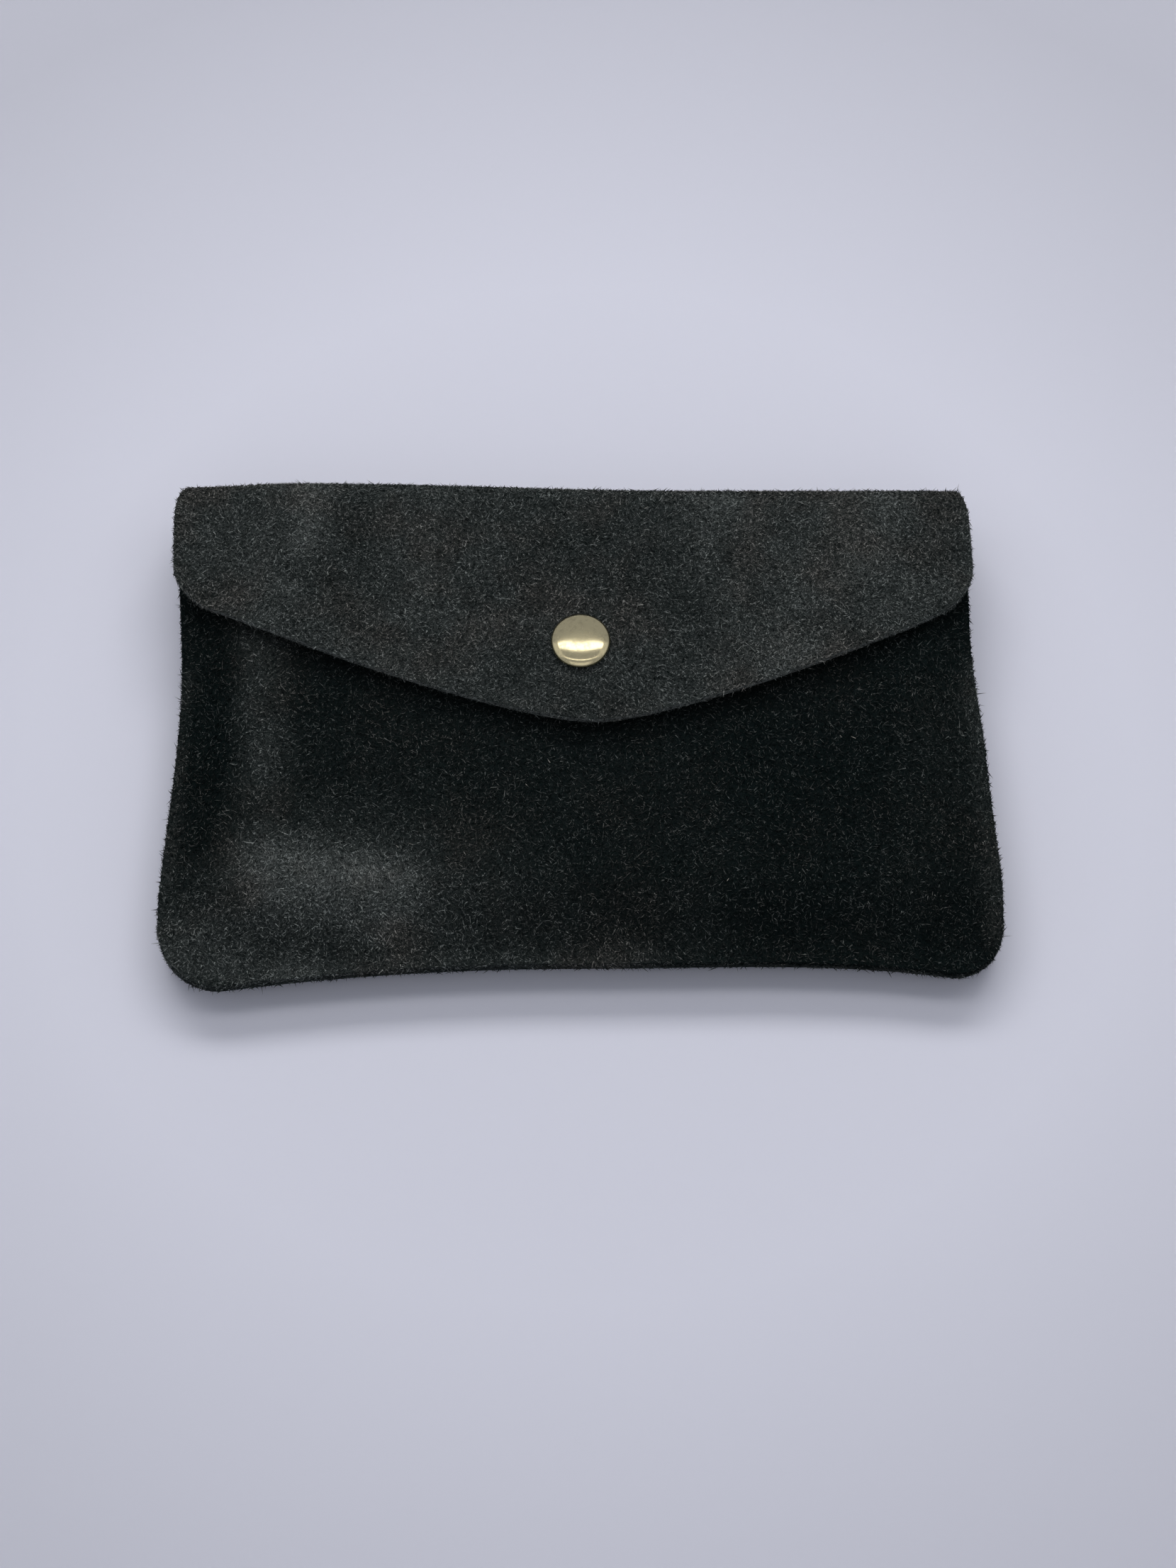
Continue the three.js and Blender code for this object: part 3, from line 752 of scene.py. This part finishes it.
def tone_shell(shell, tone):
    """Writes the tone, the nap's own with painted light and shade, and whether each point carries nap, and
    gives each face its finish.
    """
    mesh = shell.data
    points, directions = coordinates(mesh), normals(mesh)
    outer = outer_side(points, directions)
    values = tone(points[:, 0], points[:, 1])
    mottle = sum(strength * clouds(points, size, seed + 1) for seed, (strength, size) in enumerate(MOTTLE))
    write_attribute(mesh, "tone", np.clip(values, 0.05, 1) * (1 + mottle))
    from_snap = np.hypot(points[:, 0] - SNAP[0], points[:, 1] - SNAP[1])
    bare = (from_snap < (CAP_HIGH[0] - CAP_LOW[0]) / 2 - 0.1) & (points[:, 2] > SEAM)
    write_attribute(mesh, "nap", outer & ~bare)
    for name in ("suede", "lining", "cut_edge"):
        mesh.materials.append(finish(name))
    is_flap = shell.name == "flap_shell"
    for face in mesh.polygons:
        cut = is_flap and abs(face.normal.z) < 0.7 and points[face.vertices[0], 1] < FOLD_START - 4
        inside = not outer[list(face.vertices)].any()
        face.material_index = 2 if cut else 1 if inside else 0


def nap_tree():
    """Fibres scattered over a surface, leaning with a slow swirl and each a little its own way."""
    tree, given = new_tree("nap", ("Density", "Length", "Width", "From X", "To X", "Lean"))

    def node(kind, settings=None, sockets=None, output=0):
        return add_node(tree, kind, settings, sockets, output)

    def number(low, high, seed):
        return node("FunctionNodeRandomValue", {"data_type": "FLOAT"}, {2: low, 3: high, 8: seed}, 1)

    where = node("GeometryNodeInputPosition")
    across = node("ShaderNodeSeparateXYZ", None, {0: where})
    inside = across.math("GREATER_THAN", across, given["From X"])
    inside = inside * across.math("LESS_THAN", across, given["To X"])
    napped = node("GeometryNodeInputNamedAttribute", {"data_type": "FLOAT"}, {0: "nap"})
    cover = span(tree, napped, 0.5, 0.51) * inside
    scatter = tree.nodes.new("GeometryNodeDistributePointsOnFaces")
    tree.links.new(given["Geometry"].socket, scatter.inputs["Mesh"])
    tree.links.new((cover * given["Density"]).socket, scatter.inputs["Density"])
    scatter.inputs["Seed"].default_value = 7
    points, out = Value(tree, scatter.outputs["Points"]), Value(tree, scatter.outputs["Normal"])

    swirl = node("ShaderNodeTexNoise", None, {"Vector": where, "Scale": 90.0, "Detail": 2.0}, 1)
    own = node("FunctionNodeRandomValue", {"data_type": "FLOAT_VECTOR"},
               {0: (-1, -1, -1), 1: (1, 1, 1), 8: 3})
    lean = scaled(swirl.vector("SUBTRACT", swirl, (0.5, 0.5, 0.5)), 3.0)
    lean = lean.vector("ADD", lean, own)
    upright = lean.vector("DOT_PRODUCT", lean, out, output=1)
    flat = lean.vector("SUBTRACT", lean, scaled(out, upright))
    rise = number(0.08, 0.75, 11)
    way = flat.vector("ADD", scaled(flat.vector("NORMALIZE", flat), given["Lean"]), scaled(out, rise))
    tumble = node("FunctionNodeRandomValue", {"data_type": "FLOAT_VECTOR"},
                  {0: (-3, -3, -3), 1: (3, 3, 3), 8: 5})
    turn = node("FunctionNodeAlignRotationToVector", {"axis": "Z"},
                {0: node("FunctionNodeEulerToRotation", None, {0: tumble}), 2: way})
    stray = number(0.0, 1.0, 13) ** 14.0
    size = number(0.55, 1.25, 17) + stray * 1.5
    bulk = node("ShaderNodeCombineXYZ", None, {
        0: given["Width"] * number(0.7, 1.2, 19), 1: given["Width"] * 0.45, 2: given["Length"] * size})
    fibre = node("GeometryNodeMeshCone", {"fill_type": "NGON"}, {
        "Vertices": 3, "Radius Top": 0.0, "Radius Bottom": 0.58, "Depth": 1.0})
    shade = node("GeometryNodeStoreNamedAttribute", {"data_type": "FLOAT", "domain": "POINT"},
                 {"Geometry": points, "Name": "shade", "Value": number(0.0, 1.0, 23)})
    fibres = node("GeometryNodeInstanceOnPoints", None, {
        "Points": shade, "Instance": fibre, "Rotation": turn, "Scale": bulk})
    whole = node("GeometryNodeRealizeInstances", None, {0: fibres})
    done = node("GeometryNodeSetMaterial", None, {"Geometry": whole, "Material": finish("nap")})
    node("NodeGroupOutput", None, {0: done})
    return tree


def press(piece):
    """Presses what reaches below the back into the room left for it."""
    points = coordinates(piece.data)
    depth = NAP_ROOM - 0.01
    low = np.minimum(points[:, 2] - NAP_ROOM, 0)
    points[:, 2] = np.where(low < 0, 0.01 + depth * np.exp(low / depth), points[:, 2])
    piece.data.vertices.foreach_set("co", (points * MM).astype(np.float32).ravel())
    piece.data.update()


def grow_nap(shell, name, strips, density):
    """One nap piece for each strip of x over a shell."""
    leather = bpy.context.scene.purse_leather
    tree = bpy.data.node_groups.get("nap") or nap_tree()
    modifier = shell.modifiers.new("nap", "NODES")
    modifier.node_group = tree
    naps = []
    for index, (low, high) in enumerate(zip(strips[:-1], strips[1:])):
        set_inputs(modifier, tree, {
            "Density": density / MM ** 2, "Length": leather.fibre_length, "Width": leather.fibre_width,
            "From X": low * MM, "To X": high * MM, "Lean": 1.0})
        shell.update_tag()
        bpy.context.view_layer.update()
        naps.append(only_finish(evaluated(shell, f"{name}_nap_{index + 1}"), "nap"))
        press(naps[-1])
    shell.modifiers.remove(modifier)
    return naps


# ---- Other shapes ----
def turned(name, profile, centre, steps=96):
    """A solid turned about an upright axis from (radius, height) points; one off the axis is a ring."""
    shape = bmesh.new()
    angles = np.arange(steps) * 2 * math.pi / steps
    rings = []
    for radius, height in profile:
        if radius < 1e-6:
            rings.append([shape.verts.new((centre[0] * MM, centre[1] * MM, height * MM))])
            continue
        rings.append([shape.verts.new(((centre[0] + radius * math.cos(a)) * MM,
                                       (centre[1] + radius * math.sin(a)) * MM, height * MM)) for a in angles])
    closing = [] if len(rings[0]) == 1 else [(rings[-1], rings[0])]
    for lower, upper in list(zip(rings[:-1], rings[1:])) + closing:
        for step in range(steps):
            following = (step + 1) % steps
            corners = [lower[step % len(lower)], lower[following % len(lower)],
                       upper[following % len(upper)], upper[step % len(upper)]]
            shape.faces.new(list(dict.fromkeys(corners)))
    bmesh.ops.recalc_face_normals(shape, faces=shape.faces)
    mesh = bpy.data.meshes.new(name)
    shape.to_mesh(mesh)
    shape.free()
    mesh.shade_smooth()
    mesh.set_sharp_from_angle(angle=math.radians(40))
    return new_object(name, mesh)


def bow(centre, radius, start, end, steps=8):
    """(radius, height) points along an arc, angles in degrees from straight out."""
    return [(centre[0] + radius * math.cos(math.radians(a)), centre[1] + radius * math.sin(math.radians(a)))
            for a in np.linspace(start, end, steps)]


def refined(node, rounding, material):
    """A frame node's shape with its flat faces merged, its edges rounded, and a fine material."""
    obj = new_object(node + "_blank", frame["nodes"][node].data.copy())
    obj.data.materials.clear()
    shape = bmesh.new()
    shape.from_mesh(obj.data)
    bmesh.ops.remove_doubles(shape, verts=shape.verts, dist=0.00002)
    bmesh.ops.dissolve_limit(shape, angle_limit=math.radians(1), verts=shape.verts, edges=shape.edges)
    shape.to_mesh(obj.data)
    shape.free()
    edge = obj.modifiers.new("edge", "BEVEL")
    edge.width = rounding * MM
    edge.segments = 2
    edge.limit_method = "ANGLE"
    edge.angle_limit = math.radians(35)
    done = evaluated(obj, node + "_fine")
    remove(obj)
    done.data.shade_smooth()
    done.data.set_sharp_from_angle(angle=math.radians(40))
    done.data.materials.append(finish(material))
    return done


def new_tree(name, numbers):
    """A geometry tree with a mesh going in and out and named numbers; returns it and its inputs."""
    tree = bpy.data.node_groups.new(name, "GeometryNodeTree")
    tree.interface.new_socket("Geometry", in_out="INPUT", socket_type="NodeSocketGeometry")
    for number in numbers:
        tree.interface.new_socket(number, in_out="INPUT", socket_type="NodeSocketFloat")
    tree.interface.new_socket("Geometry", in_out="OUTPUT", socket_type="NodeSocketGeometry")
    group = tree.nodes.new("NodeGroupInput")
    return tree, {socket.name: Value(tree, socket) for socket in group.outputs if socket.name}


def coil_loop(tree, given):
    """One turn of the nylon coil, standing across the row."""
    loop = add_node(tree, "GeometryNodeCurvePrimitiveCircle", None, {0: 10, 4: 1.0})
    stretch = add_node(tree, "ShaderNodeCombineXYZ", None, {0: given["Height"], 1: given["Across"], 2: 1.0})
    loop = add_node(tree, "GeometryNodeTransform", None, {"Geometry": loop, "Scale": stretch})
    loop = add_node(tree, "GeometryNodeTransform", None, {"Geometry": loop, "Rotation": (0, math.pi / 2, 0)})
    wire = add_node(tree, "GeometryNodeCurvePrimitiveCircle", None, {0: 6, 4: given["Along"]})
    return add_node(tree, "GeometryNodeCurveToMesh", None, {0: loop, 1: wire})


def stitch_grain(tree, given):
    """One stitch: a grain of thread pulled in at both ends."""
    size = add_node(tree, "ShaderNodeCombineXYZ", None,
                    {0: given["Along"], 1: given["Across"], 2: given["Height"]})
    grain_shape = add_node(tree, "GeometryNodeMeshUVSphere", None, {0: 8, 1: 6, 2: 1.0})
    return add_node(tree, "GeometryNodeTransform", None, {"Geometry": grain_shape, "Scale": size})


def row_tree(name, shape, material):
    """Copies of a small shape set at a pitch along the lines of a mesh and turned to follow them."""
    tree, given = new_tree(name, ("Pitch", "Along", "Across", "Height"))
    line = add_node(tree, "GeometryNodeMeshToCurve", None, {0: given["Geometry"]})
    spaced = add_node(tree, "GeometryNodeResampleCurve", {"mode": "LENGTH"},
                      {"Curve": line, "Length": given["Pitch"]})
    turn = add_node(tree, "FunctionNodeAlignRotationToVector", {"axis": "X"},
                    {2: add_node(tree, "GeometryNodeInputTangent")})
    copies = add_node(tree, "GeometryNodeInstanceOnPoints", None,
                      {"Points": spaced, "Instance": shape(tree, given), "Rotation": turn})
    whole = add_node(tree, "GeometryNodeRealizeInstances", None, {0: copies})
    done = add_node(tree, "GeometryNodeSetMaterial", None, {"Geometry": whole, "Material": finish(material)})
    add_node(tree, "NodeGroupOutput", None, {0: done})
    return tree


def set_inputs(modifier, tree, values):
    """Sets a modifier's inputs by the names that the tree gives them."""
    for item in tree.interface.items_tree:
        if item.in_out == "INPUT" and item.name in values:
            modifier[item.identifier] = values[item.name]


def row_of(name, tree, lines, values, material):
    """A piece of small shapes along straight lines, each line a pair of points in millimetres."""
    mesh = bpy.data.meshes.new(name)
    points = [tuple(np.array(point) * MM) for line in lines for point in line]
    mesh.from_pydata(points, [(2 * index, 2 * index + 1) for index in range(len(lines))], [])
    host = new_object(name + "_lines", mesh)
    modifier = host.modifiers.new("row", "NODES")
    modifier.node_group = tree
    set_inputs(modifier, tree, {key: value * MM for key, value in values.items()})
    piece = evaluated(host, name)
    remove(host)
    return only_finish(piece, material)


def only_finish(piece, material):
    """Leaves a piece with one material on all its faces."""
    piece.data.materials.clear()
    piece.data.materials.append(finish(material))
    piece.data.polygons.foreach_set("material_index", np.zeros(len(piece.data.polygons), np.int32))
    return piece


def body_of(node):
    bodies = frame["record"]["behaviour"]["bodies"]
    return next(body for body, nodes in bodies.items() if node in nodes)


# ---- Operators ----
class PURSE_OT_stage(bpy.types.Operator):
    """Make the floor, the soft light and the camera"""

    bl_idname = "purse.stage"
    bl_label = "Stage"

    def execute(self, context):
        stage = context.scene.purse_stage
        bpy.ops.mesh.primitive_plane_add(size=4)
        floor = context.object
        floor.name = "floor"
        material, tree = new_finish("floor")
        where = add_node(tree, "ShaderNodeTexCoord", output=3)
        # The floor darkens away from the middle: a painted pool of light round the purse.
        away = span(tree, where.vector("LENGTH", where, output=1), *FLOOR_LIGHT_FALLOFF)
        shaded = [channel * FLOOR_SHADE for channel in stage.floor]
        surface(tree, {
            "Base Color": mix_colour(tree, away, tuple(stage.floor), shaded),
            "Roughness": 0.6,
            "Specular IOR Level": 0.2})
        floor.data.materials.append(material)

        world = bpy.data.worlds.new("studio")
        world.use_nodes = True
        world.node_tree.nodes["Background"].inputs[0].default_value = ROOM_COLOUR
        world.node_tree.nodes["Background"].inputs[1].default_value = ROOM_LIGHT
        context.scene.world = world
        context.scene.view_settings.view_transform = "Standard"

        for name, (spot, width, depth, power) in LAMPS.items():
            light = bpy.data.lights.new(name, "AREA")
            light.shape = "RECTANGLE"
            light.size, light.size_y = width, depth
            light.energy = power
            light.color = LAMP_COLOUR
            lamp = bpy.data.objects.new(name, light)
            lamp.location = spot
            lamp.rotation_euler = (-Vector(spot)).to_track_quat("-Z", "Y").to_euler()
            lamp.visible_glossy = name != "far_panel"
            context.scene.collection.objects.link(lamp)

        camera = bpy.data.objects.new("camera", bpy.data.cameras.new("camera"))
        camera.data.lens = stage.lens
        camera.data.sensor_width = 36
        camera.location = CAMERA_PLACE
        camera.rotation_euler = (stage.tilt, 0, 0)
        context.scene.collection.objects.link(camera)
        context.scene.camera = camera
        return {"FINISHED"}


class PURSE_OT_leather(bpy.types.Operator):
    """Make the back, the flap with the fold, the front and the side gussets, with their nap"""

    bl_idname = "purse.leather"
    bl_label = "Leather"

    def execute(self, context):
        count = context.scene.purse_leather.fibre_count
        back_bend = ("root", "spine", (0, FOLD_START * MM, BACK_Z * MM),
                     (0, FOLD_BACK * MM, (BACK_Z + FOLD_RADIUS) * MM))
        flap_bend = ("spine", "flap", (0, FOLD_BACK * MM, (FLAP_Z - FOLD_RADIUS) * MM),
                     (0, FOLD_START * MM, FLAP_Z * MM))
        front_bend = ("root", "front", (0, (BOTTOM + 4.5) * MM, SEAM * MM), (0, (BOTTOM + 18) * MM, 0.010))
        shells = [
            ("back_shell", back_grid(), back_tone, back_bend, ["back_panel"], (-80, 0, 80), 0.45),
            ("flap_shell", flap_grid(), flap_tone, flap_bend, ["flap", "flap_fold"], (-80, -25, 25, 80), 1.0),
            ("front_shell", front_grid(), front_tone, front_bend, ["front_panel"],
             (-80, -42, -14, 14, 42, 80), 0.9),
        ]
        for name, grid, tone, bend, nodes, strips, share in shells:
            shell = leather_shell(name, grid, BACK_LEATHER if name == "back_shell" else LEATHER, 0.28)
            tone_shell(shell, tone)
            naps = grow_nap(shell, name.split("_")[0], strips, count * share)
            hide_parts(*nodes)
            for piece in (shell, *naps):
                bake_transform(piece)
        for side, name in ((-1, "left"), (1, "right")):
            gusset = leather_shell(f"gusset_{name}_folded", gusset_grid(side), LINING, 0.2)
            gusset.data.materials.append(finish("lining"))
            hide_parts(f"gusset_{name}_rear", f"gusset_{name}_front")
            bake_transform(gusset)
        return {"FINISHED"}


class PURSE_OT_snap(bpy.types.Operator):
    """Make the four turned pieces of the ring snap"""

    bl_idname = "purse.snap"
    bl_label = "Snap"

    def execute(self, context):
        cap_radius = (CAP_HIGH[0] - CAP_LOW[0]) / 2 + 0.25
        foot = FLAP_HIGH[2] + 0.3
        crown = CAP_HIGH[2] - foot
        dome = [(cap_radius * math.cos(a) ** 0.8, foot + 0.3 + (crown - 0.3) * math.sin(a))
                for a in np.linspace(0.0, math.pi / 2, 26)[:-1]]
        cap = [(0, CAP_LOW[2]), (1.2, CAP_LOW[2]), (1.2, foot), (3.2, foot)]
        cap += bow((cap_radius - 0.3, foot + 0.3), 0.3, -90, -10, 6)[0:] + dome + [(0, CAP_HIGH[2])]

        ring = (SOCKET_HIGH[0] - SOCKET_LOW[0]) / 2
        hole = 2.7
        socket = [(hole, SOCKET_HIGH[2])] + [(ring - 0.25, SOCKET_HIGH[2])]
        socket += bow((ring - 0.25, SOCKET_HIGH[2] - 0.25), 0.25, 80, -80, 8)
        socket += [(ring - 0.8, SOCKET_HIGH[2] - 0.5)]
        socket += bow((hole + 0.55, SOCKET_LOW[2] + 0.35), 0.35, -20, -150, 8)
        socket += [(hole, SOCKET_LOW[2] + 0.4)]

        base = (STUD_HIGH[0] - STUD_LOW[0]) / 2
        knob = 2.2
        stud = [(0, STUD_LOW[2]), (base - 0.15, STUD_LOW[2])]
        stud += bow((base - 0.2, STUD_LOW[2] + 0.2), 0.2, -70, 80, 6)
        stud += [(knob + 0.5, STUD_LOW[2] + 0.42), (knob - 0.15, STUD_LOW[2] + 0.6)]
        stud += bow((knob - 0.35, STUD_HIGH[2] - 0.38), 0.36, -50, 85, 8) + [(0, STUD_HIGH[2] - 0.05)]

        flange = (RIVET_HIGH[0] - RIVET_LOW[0]) / 2
        rivet = [(0, RIVET_LOW[2] + 0.1), (1.0, RIVET_LOW[2] + 0.1), (1.3, RIVET_LOW[2])]
        rivet += bow((flange - 0.2, RIVET_LOW[2] + 0.2), 0.2, -90, 90, 8)
        rivet += [(1.2, RIVET_LOW[2] + 0.4), (1.2, RIVET_HIGH[2]), (0, RIVET_HIGH[2])]
        parts = {"snap_cap": cap, "snap_socket": socket, "snap_stud": stud, "stud_rivet": rivet}
        for node, profile in parts.items():
            piece = turned(node + "_turned", profile, SNAP)
            piece.data.materials.append(finish("snap_metal"))
            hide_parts(node)
            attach(piece, body_of(node))
        return {"FINISHED"}


class PURSE_OT_pockets(bpy.types.Operator):
    """Make the pocket wall, the zip facing, the card slips and their stitches"""

    bl_idname = "purse.pockets"
    bl_label = "Pockets"

    def execute(self, context):
        roundings = {"pocket_wall": 0.2, "zip_facing": 0.2}
        roundings.update({f"card_slip_{number}": 0.1 for number in (1, 2, 3)})
        for node, rounding in roundings.items():
            piece = refined(node, rounding, "lining")
            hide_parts(node)
            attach(piece, "root")

        wall_low, wall_high = box_mm("pocket_wall")
        facing_low, facing_high = box_mm("zip_facing")
        lines = []
        above = 0.04  # the thread lies this far proud of the leather
        edge = 1.4  # from a slip's edge to its stitches
        for y, top in ((wall_high[1] - 1.3, wall_high[2]), (facing_low[1] + 1.3, facing_high[2])):
            lines.append(((wall_low[0] + 3, y, top + above), (wall_high[0] - 3, y, top + above)))
        slips = [box_mm(f"card_slip_{number}") for number in (3, 2, 1)]
        floor = slips[0][0][1]
        for low, high in slips:
            for side in (-1, 1):
                x = side * (high[0] - edge)
                lines.append(((x, floor + edge, high[2] + above), (x, high[1] - 1.6, high[2] + above)))
            floor = high[1]
        low, high = slips[0]
        lines.append(((low[0] + edge, low[1] + edge, high[2] + above),
                      (high[0] - edge, low[1] + edge, high[2] + above)))
        tree = row_tree("stitches", stitch_grain, "thread")
        sizes = {"Pitch": 2.6, "Along": 1.15, "Across": 0.2, "Height": 0.16}
        threads = row_of("pocket_stitches", tree, lines, sizes, "thread")
        threads.data.shade_smooth()
        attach(threads, "root")
        return {"FINISHED"}


class PURSE_OT_zip(bpy.types.Operator):
    """Make the zip: tapes, stops, slider, pull and coils"""

    bl_idname = "purse.zip"
    bl_label = "Zip"

    def execute(self, context):
        plans = {  # node: rounding, finish, slot
            "zip_tape_lower": (0.08, "zip_tape", "zip_tape"),
            "zip_tape_upper": (0.08, "zip_tape", "zip_tape"),
            "zip_stop_left": (0.2, "zip_metal", "zip_metal"),
            "zip_stop_right": (0.2, "zip_metal", "zip_metal"),
            "zip_slider": (0.15, "zip_metal", "zip_metal"),
            "zip_pull": (0.2, "zip_metal", "zip_metal"),
        }
        for node, (rounding, material, slot) in plans.items():
            piece = refined(node, rounding, material)
            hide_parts(node)
            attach(piece, body_of(node))

        tree = row_tree("teeth", coil_loop, "coil")
        pitch = context.scene.purse_metal.tooth_pitch / MM
        middle = (box_mm("zip_slider")[0][1] + box_mm("zip_slider")[1][1]) / 2
        for index, node in enumerate(("zip_coil_lower", "zip_coil_upper")):
            low, high = box_mm(node)
            reach = abs(middle - (low[1] if index == 0 else high[1])) / 2 + 0.1
            y = middle + (reach - 0.15) * (-1 if index == 0 else 1)
            z = (low[2] + high[2]) / 2
            wire = 0.24
            ends = (low[0] + 0.4 + index * pitch / 2, high[0] - 0.4 - (1 - index) * pitch / 2)
            sizes = {"Pitch": pitch, "Along": wire, "Across": reach - wire,
                     "Height": (high[2] - low[2]) / 2 - wire}
            teeth = row_of(node + "_teeth", tree, [((ends[0], y, z), (ends[1], y, z))], sizes, "coil")
            teeth.data.shade_smooth()
            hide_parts(node)
            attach(teeth, "root")
        return {"FINISHED"}


class PURSE_PT_panel(bpy.types.Panel):
    """The purse's sizes, colours and steps."""

    bl_label = "Suede envelope purse"
    bl_idname = "PURSE_PT_panel"
    bl_space_type = "VIEW_3D"
    bl_region_type = "UI"
    bl_category = "Purse"

    def draw(self, context):
        for group in (context.scene.purse_leather, context.scene.purse_metal, context.scene.purse_stage):
            for name in group.__annotations__:
                self.layout.prop(group, name)
        for step in STEPS:
            self.layout.operator(step.bl_idname)


STEPS = (PURSE_OT_stage, PURSE_OT_leather, PURSE_OT_snap, PURSE_OT_pockets, PURSE_OT_zip)
GROUPS = {"purse_leather": PurseLeather, "purse_metal": PurseMetal, "purse_stage": PurseStage}


def register():
    for kind in (*GROUPS.values(), *STEPS, PURSE_PT_panel):
        bpy.utils.register_class(kind)
    for name, group in GROUPS.items():
        setattr(bpy.types.Scene, name, bpy.props.PointerProperty(type=group))


def unregister():
    for name in GROUPS:
        delattr(bpy.types.Scene, name)
    for kind in reversed((*GROUPS.values(), *STEPS, PURSE_PT_panel)):
        bpy.utils.unregister_class(kind)


def main():
    register()
    bpy.ops.purse.stage()
    bpy.ops.purse.leather()
    bpy.ops.purse.snap()
    bpy.ops.purse.pockets()
    bpy.ops.purse.zip()


if __name__ == "__main__":
    main()
